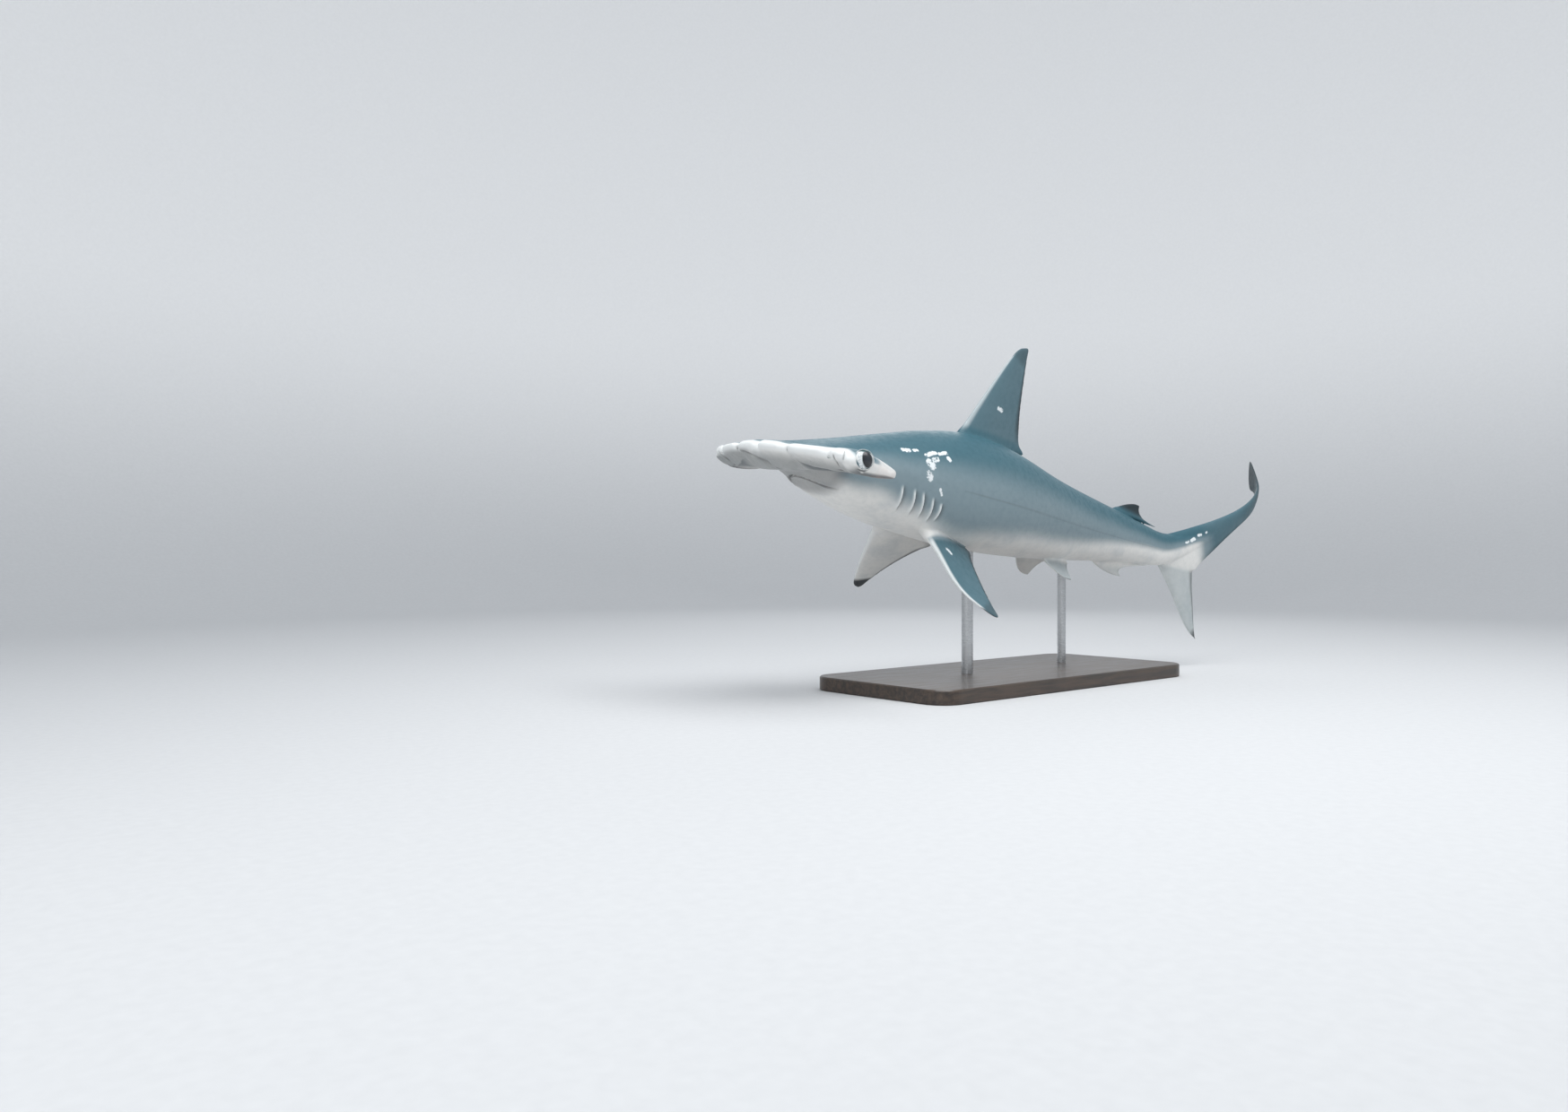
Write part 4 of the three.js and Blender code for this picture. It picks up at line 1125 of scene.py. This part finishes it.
def mouth_relief(points, normals):
    """Lips and lower jaw, in millimetres, and how near the line of the mouth is."""
    share = np.linspace(-1, 1, 241)
    plan = mouth_arc(share)
    near = (points[:, 0] > -330) & (points[:, 0] < -80) & (np.abs(points[:, 1]) < 125) & (normals[:, 2] < 0.1)
    lift, close = np.zeros(len(points)), np.zeros(len(points))
    chosen = np.where(near)[0]
    for part in np.array_split(chosen, len(chosen) // BATCH + 1):
        offset = points[part, None, :2] - plan[None]
        distance = np.sqrt((offset**2).sum(2))
        at = distance.argmin(1)
        gap = distance[np.arange(len(part)), at]
        where = share[at]
        ahead = points[part, 0] > plan[at, 0]
        ends = np.clip(1.05 - np.abs(where), 0, 0.25) / 0.25
        beyond = np.where(np.abs(where) > 0.995, 0.3, 1.0)
        lip = np.where(ahead, 2.4 * bell(gap - 5.5, 4.0), 2.6 * bell(gap - 5.0, 3.8))
        groove = -2.6 * bell(gap, 2.4)
        lift[part] = (lip + groove) * ends * beyond
        close[part] = bell(gap, 3.0) * ends
    return lift * np.clip(-normals[:, 2] * 2 + 0.2, 0, 1), close


# Materials


class Paint:
    """A material being made, with short ways to add and join its nodes."""

    def __init__(self, name):
        self.material = bpy.data.materials.new(name)
        self.material.use_nodes = True
        self.tree = self.material.node_tree
        self.shader = self.tree.nodes["Principled BSDF"]

    def add(self, kind, inputs=None, **fields):
        node = self.tree.nodes.new(kind)
        for field, value in fields.items():
            setattr(node, field, value)
        for key, value in (inputs or {}).items():
            self.feed(node.inputs[key], value)
        return node

    def feed(self, socket, value):
        if isinstance(value, bpy.types.NodeSocket):
            self.tree.links.new(value, socket)
        else:
            socket.default_value = value

    def finish(self, inputs):
        for key, value in inputs.items():
            self.feed(self.shader.inputs[key], value)
        return self.material

    def attribute(self, name, output="Fac"):
        return self.add("ShaderNodeAttribute", attribute_name=name).outputs[output]

    def noise(self, vector, scale, detail=3.0, roughness=0.5, distortion=0.0):
        node = self.add("ShaderNodeTexNoise", {
            "Vector": vector, "Scale": scale, "Detail": detail, "Roughness": roughness,
            "Distortion": distortion,
        })
        return node.outputs["Fac"]

    def cells(self, vector, scale, feature="F1"):
        node = self.add("ShaderNodeTexVoronoi", {"Vector": vector, "Scale": scale}, feature=feature)
        return node.outputs["Distance"]

    def math(self, operation, first, second=0.0, clamp=False):
        node = self.add("ShaderNodeMath", operation=operation, use_clamp=clamp)
        self.feed(node.inputs[0], first)
        self.feed(node.inputs[1], second)
        return node.outputs[0]

    def range(self, value, low, high, to_low=0.0, to_high=1.0):
        node = self.add("ShaderNodeMapRange", {
            "Value": value, "From Min": low, "From Max": high, "To Min": to_low, "To Max": to_high,
        }, interpolation_type="SMOOTHSTEP")
        return node.outputs["Result"]

    def mix(self, factor, first, second, blend="MIX"):
        node = self.add("ShaderNodeMix", data_type="RGBA", blend_type=blend)
        self.feed(node.inputs["Factor"], factor)
        self.feed(node.inputs["A"], first)
        self.feed(node.inputs["B"], second)
        return node.outputs["Result"]

    def scaled(self, vector, scale):
        node = self.add("ShaderNodeVectorMath", operation="MULTIPLY")
        self.feed(node.inputs[0], vector)
        self.feed(node.inputs[1], scale)
        return node.outputs[0]

    def bump(self, height, strength, distance, normal=None):
        node = self.add("ShaderNodeBump", {"Height": height, "Strength": strength, "Distance": distance})
        if normal is not None:
            self.feed(node.inputs["Normal"], normal)
        return node.outputs["Normal"]


def skin_paint(shark):
    """Countershaded skin with pale margins, dark tips, scars, pores and fine grain, with painted shade in the
    folds, slits and mouth line and under the head's wings, and painted highlight on the head's rim and the
    gill flaps.
    """
    paint = Paint("shark_skin")
    rest = paint.attribute("rest", "Vector")
    shade = paint.attribute("shade")
    soft = paint.noise(rest, 9, 4, 0.55)
    fine = paint.noise(rest, 70, 5, 0.6)
    speck = paint.noise(rest, 420, 3, 0.6)
    shift = paint.math("MULTIPLY", paint.math("SUBTRACT", soft, 0.5), 0.10)
    mottled = paint.math("ADD", shade, shift)
    patches = paint.range(paint.noise(rest, 14, 4), 0.45, 0.75)
    belly = paint.mix(patches, shark.belly_colour, shark.belly_shadow)
    flank = paint.mix(paint.range(mottled, 0.02, 0.50), belly, shark.flank_colour)
    back = paint.mix(paint.range(mottled, 0.48, 1.0), flank, shark.back_colour)
    cloudy = paint.mix(paint.range(fine, 0.35, 0.8, 0, 0.16), back, CLOUD_TINT, "MULTIPLY")
    # Painted shade under the head's wings and below its rim
    with_painted_shade = paint.mix(paint.attribute("dusk"), cloudy, shark.painted_shade_colour)
    # Pale margins, with painted highlight on the head's rim and the gill flaps' edges
    pale = paint.mix(paint.attribute("pale"), with_painted_shade, shark.pale_and_highlight_colour)
    flush = paint.math("MULTIPLY", paint.attribute("flush"), paint.range(fine, 0.3, 0.7, 0.2, 0.8))
    warm = paint.mix(flush, pale, shark.flush_colour)
    dark = paint.mix(paint.attribute("dark"), warm, shark.tip_colour)
    pores = paint.range(paint.cells(rest, 230), 0.14, 0.24, 1, 0)
    pored = paint.mix(paint.math("MULTIPLY", pores, paint.attribute("pores")), dark, shark.crease_shade_and_pore_colour)
    # Painted shade of the folds, gill slits and mouth line, and the faint flank line
    fold = paint.mix(paint.attribute("fold"), pored, shark.crease_shade_and_pore_colour)
    broken = paint.range(paint.noise(rest, 95, 6, 0.75), 0.30, 0.62, 0.0, 1.5)
    ragged = paint.math("MULTIPLY", paint.attribute("scar"), broken)
    scar = paint.mix(paint.range(ragged, 0.30, 0.62, 0, 0.85), fold, shark.scar_colour)
    grain = paint.cells(rest, 900)
    height = paint.math("ADD", paint.math("MULTIPLY", fine, 0.6), paint.math("MULTIPLY", grain, 0.4))
    height = paint.math("ADD", height, paint.math("MULTIPLY", speck, 0.3))
    return paint.finish({
        "Base Color": scar, "Roughness": paint.range(fine, 0.3, 0.8, 0.40, 0.56),
        "Normal": paint.bump(height, 0.25, 0.0006), "Specular IOR Level": 0.4,
    })


def eye_paint(shark):
    """Dark leaning pupil in a silvery iris, darker under the upper lid, below a wet surface."""
    paint = Paint("shark_eye")
    rest = paint.attribute("rest", "Vector")
    parts = paint.add("ShaderNodeSeparateXYZ", {"Vector": rest}).outputs
    lean = paint.math("MULTIPLY", parts[1], -PUPIL_LEAN)
    wide = paint.math("ADD", paint.math("ADD", parts[0], lean), PUPIL_BACK)
    wide = paint.math("DIVIDE", wide, PUPIL_RADII[0])
    tall = paint.math("DIVIDE", paint.math("SUBTRACT", parts[1], 0.0008), PUPIL_RADII[1])
    squares = [paint.math("MULTIPLY", part, part) for part in (wide, tall)]
    reach = paint.math("SQRT", paint.math("ADD", *squares))
    spokes = paint.noise(rest, 300, 3)
    iris = paint.mix(paint.range(spokes, 0.35, 0.7), shark.iris_colour, IRIS_FLECK)
    lidded = paint.mix(paint.range(parts[1], 0.0125, 0.0165), iris, shark.lid_shade)
    ringed = paint.mix(paint.range(reach, 1.02, 1.16, 0.45, 0), lidded, shark.lid_shade)
    clouded = paint.mix(paint.range(reach, 0.0, 0.9, 1, 0), shark.pupil_colour, PUPIL_SHEEN)
    inner = paint.mix(paint.range(reach, 0.93, 1.04), clouded, ringed)
    return paint.finish({
        "Base Color": inner, "Roughness": paint.range(spokes, 0.3, 0.7, 0.30, 0.38),
        "Coat Weight": 0.22, "Coat Roughness": 0.16, "Normal": paint.bump(spokes, 0.05, 0.0002),
    })


def plate_paint(stand):
    """Dark stained oak under satin lacquer."""
    paint = Paint("stand_oak")
    place = paint.add("ShaderNodeTexCoord").outputs["Object"]
    along = paint.scaled(place, (1.2, 14.0, 14.0))
    grain = paint.noise(along, 6, 8, 0.62, 0.6)
    pores = paint.noise(paint.scaled(place, (9.0, 260.0, 260.0)), 4, 4, 0.6)
    colour = paint.mix(paint.range(grain, 0.3, 0.72), stand.oak_dark, stand.oak_light)
    colour = paint.mix(paint.range(pores, 0.58, 0.7, 0, 0.6), colour, OAK_PORE)
    return paint.finish({
        "Base Color": colour, "Roughness": paint.range(grain, 0.2, 0.8, 0.32, 0.48),
        "Normal": paint.bump(pores, 0.25, 0.0006), "Coat Weight": 0.25,
    })


def rod_paint(stand):
    """Brushed steel with faint turning marks."""
    paint = Paint("stand_steel")
    place = paint.add("ShaderNodeTexCoord").outputs["Object"]
    brushed = paint.noise(paint.scaled(place, (30.0, 30.0, 1400.0)), 1, 4, 0.7)
    smudge = paint.noise(place, 18, 4, 0.6)
    turned, worn = paint.range(brushed, 0.2, 0.8, 0.2, 0.32), paint.range(smudge, 0.4, 0.8, 0, 0.1)
    rough = paint.math("ADD", turned, worn)
    return paint.finish({
        "Base Color": paint.mix(brushed, stand.steel_colour, STEEL_SHADE), "Metallic": 1.0,
        "Roughness": rough, "Normal": paint.bump(brushed, 0.2, 0.0003),
    })


def floor_paint(stage):
    """Plain matt paper, with a faint glow up the backdrop."""
    paint = Paint("studio_paper")
    place = paint.add("ShaderNodeTexCoord").outputs["Object"]
    fibre = paint.noise(place, 60, 1)
    height = paint.add("ShaderNodeSeparateXYZ", {"Vector": place}).outputs[2]
    return paint.finish({
        "Base Color": paint.mix(fibre, stage.floor_colour, PAPER_SHADE), "Roughness": 0.9,
        "Emission Color": stage.floor_colour,
        "Emission Strength": paint.range(height, 0.0, 2.2, 0, stage.wall_glow),
    })


# What a user can change


def colour_property(name, description, default):
    """A colour with an alpha of 1."""
    return bpy.props.FloatVectorProperty(
        name=name, description=description, default=(*default, 1.0), size=4, min=0, max=1, subtype="COLOR"
    )


def size_property(name, description, default, low, high):
    """A length in metres."""
    return bpy.props.FloatProperty(
        name=name, description=description, default=default, min=low, max=high, unit="LENGTH"
    )


def power_property(name, description, default):
    """Power of a light."""
    return bpy.props.FloatProperty(
        name=name, description=description, default=default, min=0, max=1000, subtype="POWER"
    )


class SharkSettings(bpy.types.PropertyGroup):
    """Sizes and colours of the animal."""

    total_length: size_property("Total length", "Nose to tail tip of the straight animal", 2.2, 1, 4)
    head_span: size_property("Head span", "Width of the head across the eyes' ends", 0.602, 0.2, 1.5)
    eye_radius: size_property("Eye radius", "Radius of the eye balls", 0.021, 0.01, 0.05)
    mouth_gap: size_property(
        "Mouth gap", "How far the lips stand apart at the middle", 0.0068, 0.0005, 0.02
    )
    mesh_size: size_property("Mesh size", "Face size of the skin on the trunk", 0.0028, 0.0015, 0.01)
    back_colour: colour_property("Back", "Skin of the back", (0.040, 0.118, 0.152))
    flank_colour: colour_property("Flank", "Skin of the flanks", (0.205, 0.275, 0.305))
    belly_colour: colour_property("Belly", "Skin of the belly and throat", (0.80, 0.79, 0.76))
    belly_shadow: colour_property("Belly cloud", "Faint cloudy patches of the belly", (0.68, 0.69, 0.68))
    # Colour of the pale margins and of the painted highlight on the head's rim and gill flaps
    pale_and_highlight_colour: colour_property("Pale margin", "Pale front margins and lids", (0.86, 0.88, 0.87))
    # Colour of the painted shade under the head's wings and below its rim
    painted_shade_colour: colour_property("Dusk", "Dusky skin under the wings of the head", (0.050, 0.066, 0.074))
    flush_colour: colour_property("Flush", "Rosy tint of thin skin", (0.72, 0.50, 0.46))
    scar_colour: colour_property("Scar", "Rubbed white marks", (0.84, 0.87, 0.88))
    lid_shade: colour_property("Lid shade", "Eye under the upper lid", (0.020, 0.075, 0.080))
    tip_colour: colour_property("Dark tip", "Dark tips and trailing edges", (0.012, 0.018, 0.022))
    # Colour of the dark pores and of the painted shade in the slits, folds and mouth line
    crease_shade_and_pore_colour: colour_property("Fold", "Skin deep in the slits and folds", (0.035, 0.030, 0.030))
    iris_colour: colour_property("Iris", "Silvery ring of the eye", (0.80, 0.83, 0.84))
    pupil_colour: colour_property("Pupil", "Dark middle of the eye", (0.004, 0.005, 0.009))


class StandSettings(bpy.types.PropertyGroup):
    """Colours of the display stand."""

    oak_dark: colour_property("Dark oak", "Dark streaks of the plate", (0.022, 0.015, 0.011))
    oak_light: colour_property("Light oak", "Light streaks of the plate", (0.075, 0.048, 0.032))
    steel_colour: colour_property("Steel", "Metal of the rods", (0.62, 0.63, 0.64))


class StageSettings(bpy.types.PropertyGroup):
    """Studio around the model."""

    floor_colour: colour_property("Paper", "Floor and backdrop", (0.66, 0.67, 0.68))
    wall_glow: bpy.props.FloatProperty(
        name="Wall glow", description="Light that the backdrop gives off itself",
        default=0.40, min=0, max=2,
    )
    key_power: power_property("Key light", "Power of the large light overhead", 112)
    fill_power: power_property("Fill light", "Power of the lights beside and behind the model", 16)


# Operators


class SHARK_OT_skin(bpy.types.Operator):
    """Builds the animal's one skin, from head to tail"""

    bl_idname = "shark.skin"
    bl_label = "Build the skin"

    def execute(self, context):
        shark = context.scene.shark
        points, faces = together(flesh_sheets())
        skin = place_object("skin", mesh_from("skin", stretch(points), faces))
        remesh = skin.modifiers.new("remesh", "REMESH")
        remesh.mode = "VOXEL"
        remesh.voxel_size = shark.mesh_size * 1000
        applied(skin)
        at = smoothed(thin_fins(unstretch(corners_of(skin.data))), edges_of(skin.data))
        set_corners(skin.data, at)
        normals = normals_of(skin.data)
        lift = gill_relief(at) + mouth_relief(at, normals)[0] + head_relief(at, normals)[0]
        at = at + normals * lift[:, None]
        set_corners(skin.data, at)
        cuts = gill_cuts() + [mouth_cut(at, normals)]
        cuts += [cut(side) for side in (1, -1) for cut in (nostril_cut, socket_cut, aperture_cut)]
        cut_away(skin, cuts)
        colour_skin(skin.data)
        set_corners(skin.data, posed(corners_of(skin.data)))
        skin.data.shade_smooth()
        skin.data.materials.clear()
        skin.data.materials.append(skin_paint(shark))
        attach(skin, "root")
        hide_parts(*FLESH_NODES)
        return {"FINISHED"}


def write_attribute(mesh, name, values):
    """A number or a vector for each corner."""
    kind = "FLOAT_VECTOR" if values.ndim == 2 else "FLOAT"
    made = mesh.attributes.new(name, kind, "POINT")
    field = "vector" if values.ndim == 2 else "value"
    made.data.foreach_set(field, np.asarray(values, np.float32).ravel())


def fin_colours(points, masks):
    """Changes the shade, dark and pale masks on the fins."""
    def blend(key, value, weight):
        masks[key] = masks[key] + (value - masks[key]) * weight

    for fin in all_fins():
        h, c, aside, on = fin_terms(fin, points)
        on &= np.abs(aside) < fin_half(fin, c, h)[0] + 4
        if fin.side:
            on &= points[:, 1] * fin.side > 0
        root = 0.012 if fin.name == "caudal_lower_lobe" else 0.001
        weight = on * smooth(root, root + 0.011, h)
        rise = h / fin.rows[-1][0]
        outer = smooth(-0.5, 0.5, aside) if fin.side else 0.5
        out_shade, in_shade, trailing, begin, out_tip, in_tip = FIN_MARKS[fin.name]
        tip_reach = 0.22 if fin.name == "dorsal_fin_2" else 0.07
        tip = smooth(begin, begin + tip_reach, rise + 0.08 * (c - 0.5))
        edge = trailing * smooth(0.84, 0.97, c) * smooth(0.0, 0.25, rise)
        blend("shade", in_shade + (out_shade - in_shade) * outer, weight)
        blend("dark", np.maximum((in_tip + (out_tip - in_tip) * outer) * tip, edge), weight)
        front = (0.75 if fin.name == "pectoral_fin" else 0.35) * (1 - smooth(0.02, 0.07, c)) * (1 - tip)
        blend("pale", front, weight)
        if fin.name == "dorsal_fin_2":
            rear_tip = 0.7 * smooth(0.7, 0.9, c) * (1 - smooth(0.2, 0.4, rise))
            blend("pale", rear_tip, weight * smooth(0.6, 0.8, c))
    along, c = read_upper_lobe(points)[:2]
    weight = smooth(0.05, 0.10, along) * (np.abs(c - 0.5) < 0.9)
    blend("shade", 0.84, weight)
    blend("dark", np.maximum(0.85 * smooth(0.14, 0.27, along), 0.5 * smooth(0.8, 1.0, c)), weight)


def colour_skin(mesh):
    """Writes the straight place and the colour masks of every corner."""
    at = corners_of(mesh)
    normals = normals_of(mesh)
    s = -at[:, 0] / length()
    share = np.abs(at[:, 1]) / half_span()
    z = at[:, 2] - body_middle(s)
    level = np.clip(z / body_depth(s, z), -1.3, 1.3)
    edge = curve(FLANK_EDGE, s, 1)
    body = 0.5 * smooth(edge - 0.32, edge + 0.34, level) + 0.5 * smooth(0.0, 0.80, level)
    back = s - blade_front(np.minimum(share, 1))
    end = smooth(0.86, 0.93, share)
    blade = smooth(0.10 - 0.2 * end, 0.50 + 0.15 * end, normals[:, 2]) * smooth(0.001, 0.007, back)
    blade *= 1 - 0.8 * end * smooth(0.052, 0.066, s)
    on_blade = np.maximum(
        1 - smooth(0.055, 0.085, s), smooth(0.40, 0.46, share) * (1 - smooth(0.093, 0.10, s))
    )
    fold, dusk, pale = head_relief(at, normals)[1:]
    # Painted shade in the gill slits and painted highlight on the gill flaps' edges
    slit_shade, flap = gill_marks(at)
    # Painted shade along the line of the mouth
    mouth_shade = mouth_relief(at, normals)[1]
    beside = np.abs(at[:, 1]) > 12
    line = bell(level - 0.02, 0.014) * smooth(0.23, 0.27, s) * (1 - smooth(0.68, 0.72, s)) * beside
    below = smooth(0.2, 0.7, -normals[:, 2])
    tip_side = smooth(0.80, 0.90, share) * on_blade
    masks = {
        # Pale rim with painted highlight on its upper part, and painted highlight on the gill flaps' edges
        "shade": body + (blade - body) * on_blade,
        "pale": np.maximum(pale * on_blade * (1 - 0.85 * blade), flap),
        "dark": np.zeros(len(at)),
    }
    fin_colours(at, masks)
    scar = np.zeros(len(at))
    for spots, width in SCARS:
        scar = np.maximum(scar, bell(near_line(at, spots, width * 5), width * 2.0))
    # Painted shade under the wings: the hollows, the lower front face, the right side, and the downward faces
    # near the tips
    under = smooth(0.5, 0.85, -normals[:, 2])
    masks["dusk"] = np.maximum(dusk, 0.85 * under * tip_side * smooth(0.03, 0.045, s))
    # Painted shade along the mouth, in the head's folds and in the gill slits, with the faint dark line along
    # each flank
    masks["fold"] = np.clip(np.maximum.reduce([mouth_shade * 0.75, fold * 1.35, slit_shade, line * 0.22]), 0, 1)
    masks["scar"] = scar
    masks["pores"] = on_blade * below * (1 - smooth(0.55, 0.75, share)) * 0.28 * (s > 0.02)
    masks["flush"] = tip_side * smooth(0.052, 0.066, s) * 0.16 + 0.07 * bell(s - 0.075, 0.02) * below
    write_attribute(mesh, "rest", at / 1000)
    for name, values in masks.items():
        write_attribute(mesh, name, values)


class SHARK_OT_eyes(bpy.types.Operator):
    """Builds both eyes in their sockets"""

    bl_idname = "shark.eyes"
    bl_label = "Build the eyes"

    def execute(self, context):
        shark = context.scene.shark
        paint = eye_paint(shark)
        radius = shark.eye_radius * 1000
        for name, side in (("left", 1), ("right", -1)):
            centre, out = eye_frame(side)
            points, faces = outward(*ball_sheet((0, 0, 0), (radius,) * 3, 96, 128))
            mesh = mesh_from("eyeball_" + name, points + centre, faces)
            across, upward = axes_about(out)
            local = np.stack([points @ (across * side), points @ upward, points @ out], 1)
            write_attribute(mesh, "rest", local / 1000)
            set_corners(mesh, posed(points + centre))
            mesh.shade_smooth()
            mesh.materials.append(paint)
            eye = place_object("eyeball_" + name, mesh)
            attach(eye, "root")
            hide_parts("eye_" + name)
        return {"FINISHED"}


class SHARK_OT_stand(bpy.types.Operator):
    """Finishes the plate and rods of the stand"""

    bl_idname = "shark.stand"
    bl_label = "Finish the stand"

    def execute(self, context):
        stand = context.scene.shark_stand
        oak, steel = plate_paint(stand), rod_paint(stand)
        finishes = {"stand_base": oak, "stand_rod_front": steel, "stand_rod_rear": steel}
        for name, paint in finishes.items():
            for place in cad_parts[name].material_slots:
                place.link = "OBJECT"
                place.material = paint
        return {"FINISHED"}


def sweep_mesh():
    """Floor that curves up into a round backdrop, open at the top."""
    flat, bend, height = SWEEP
    radii = list(np.linspace(0.02, flat, 12))
    levels = [0.0] * 12
    for turn in np.linspace(0, math.pi / 2, 14)[1:]:
        radii.append(flat + bend * math.sin(turn))
        levels.append(bend * (1 - math.cos(turn)))
    radii.append(radii[-1])
    levels.append(height)
    around = 96
    turn = np.linspace(0, 2 * np.pi, around + 1)[:-1]
    r, z = np.array(radii)[:, None], np.array(levels)[:, None]
    rings = np.stack([r * np.cos(turn), r * np.sin(turn), z + 0 * turn], 2).reshape(-1, 3)
    index = np.arange(len(radii) * around).reshape(-1, around)
    a, b = index[:-1], index[1:]
    c, d = np.roll(b, -1, 1), np.roll(a, -1, 1)
    faces = np.concatenate([
        np.stack([a, b, c], 2).reshape(-1, 3), np.stack([a, c, d], 2).reshape(-1, 3),
    ])
    middle = len(rings)
    points = np.concatenate([rings, [[0, 0, 0]]])
    cap = np.stack([np.full(around, middle), index[0], np.roll(index[0], -1)], 1)
    return mesh_from("studio_sweep", points, np.concatenate([faces, cap]))


def area_light(name, place, target, size, power):
    """Soft light aimed at a point."""
    lamp = bpy.data.lights.new(name, "AREA")
    lamp.shape = "RECTANGLE"
    lamp.size, lamp.size_y = size
    lamp.energy = power
    made = bpy.data.objects.new(name, lamp)
    made.location = place
    made.rotation_euler = (Vector(target) - Vector(place)).to_track_quat("-Z", "Y").to_euler()
    bpy.context.scene.collection.objects.link(made)


class SHARK_OT_stage(bpy.types.Operator):
    """Builds the camera, the pale sweep and the soft lights"""

    bl_idname = "shark.stage"
    bl_label = "Build the stage"

    def execute(self, context):
        stage = context.scene.shark_stage
        lens = bpy.data.cameras.new("photo_camera")
        lens.sensor_width = 36
        lens.lens = CAMERA_LENS
        lens.clip_end = 100
        camera = bpy.data.objects.new("photo_camera", lens)
        camera.location = CAMERA_PLACE
        camera.rotation_euler = (math.pi / 2 + CAMERA_PITCH, 0, CAMERA_YAW - math.pi / 2)
        context.scene.collection.objects.link(camera)
        context.scene.camera = camera
        mesh = sweep_mesh()
        mesh.shade_smooth()
        mesh.materials.append(floor_paint(stage))
        sweep = place_object("studio_sweep", mesh)
        for name, (place, target, size, setting) in LIGHTS.items():
            area_light(name, place, target, size, getattr(stage, setting))
        world = bpy.data.worlds.new("studio")
        world.use_nodes = True
        sky = world.node_tree.nodes["Background"]
        sky.inputs["Color"].default_value = SKY_COLOUR
        sky.inputs["Strength"].default_value = SKY_STRENGTH
        context.scene.world = world
        context.scene.view_settings.view_transform = "Standard"
        return {"FINISHED"}


class SHARK_PT_panel(bpy.types.Panel):
    """Lists the steps that build the model"""

    bl_label = "Hammerhead shark"
    bl_idname = "SHARK_PT_panel"
    bl_space_type = "VIEW_3D"
    bl_region_type = "UI"
    bl_category = "Shark"

    def draw(self, context):
        for step in STEPS:
            self.layout.operator(step.bl_idname)


STEPS = [SHARK_OT_skin, SHARK_OT_eyes, SHARK_OT_stand, SHARK_OT_stage]
CLASSES = [SharkSettings, StandSettings, StageSettings, *STEPS, SHARK_PT_panel]


def register():
    """Registers the classes and the settings they read."""
    for item in CLASSES:
        bpy.utils.register_class(item)
    bpy.types.Scene.shark = bpy.props.PointerProperty(type=SharkSettings)
    bpy.types.Scene.shark_stand = bpy.props.PointerProperty(type=StandSettings)
    bpy.types.Scene.shark_stage = bpy.props.PointerProperty(type=StageSettings)


def unregister():
    """Takes back what register added."""
    del bpy.types.Scene.shark
    del bpy.types.Scene.shark_stand
    del bpy.types.Scene.shark_stage
    for item in reversed(CLASSES):
        bpy.utils.unregister_class(item)


def main():
    """Builds everything in order."""
    register()
    bpy.ops.shark.skin()
    bpy.ops.shark.eyes()
    bpy.ops.shark.stand()
    bpy.ops.shark.stage()


if __name__ == "__main__":
    main()
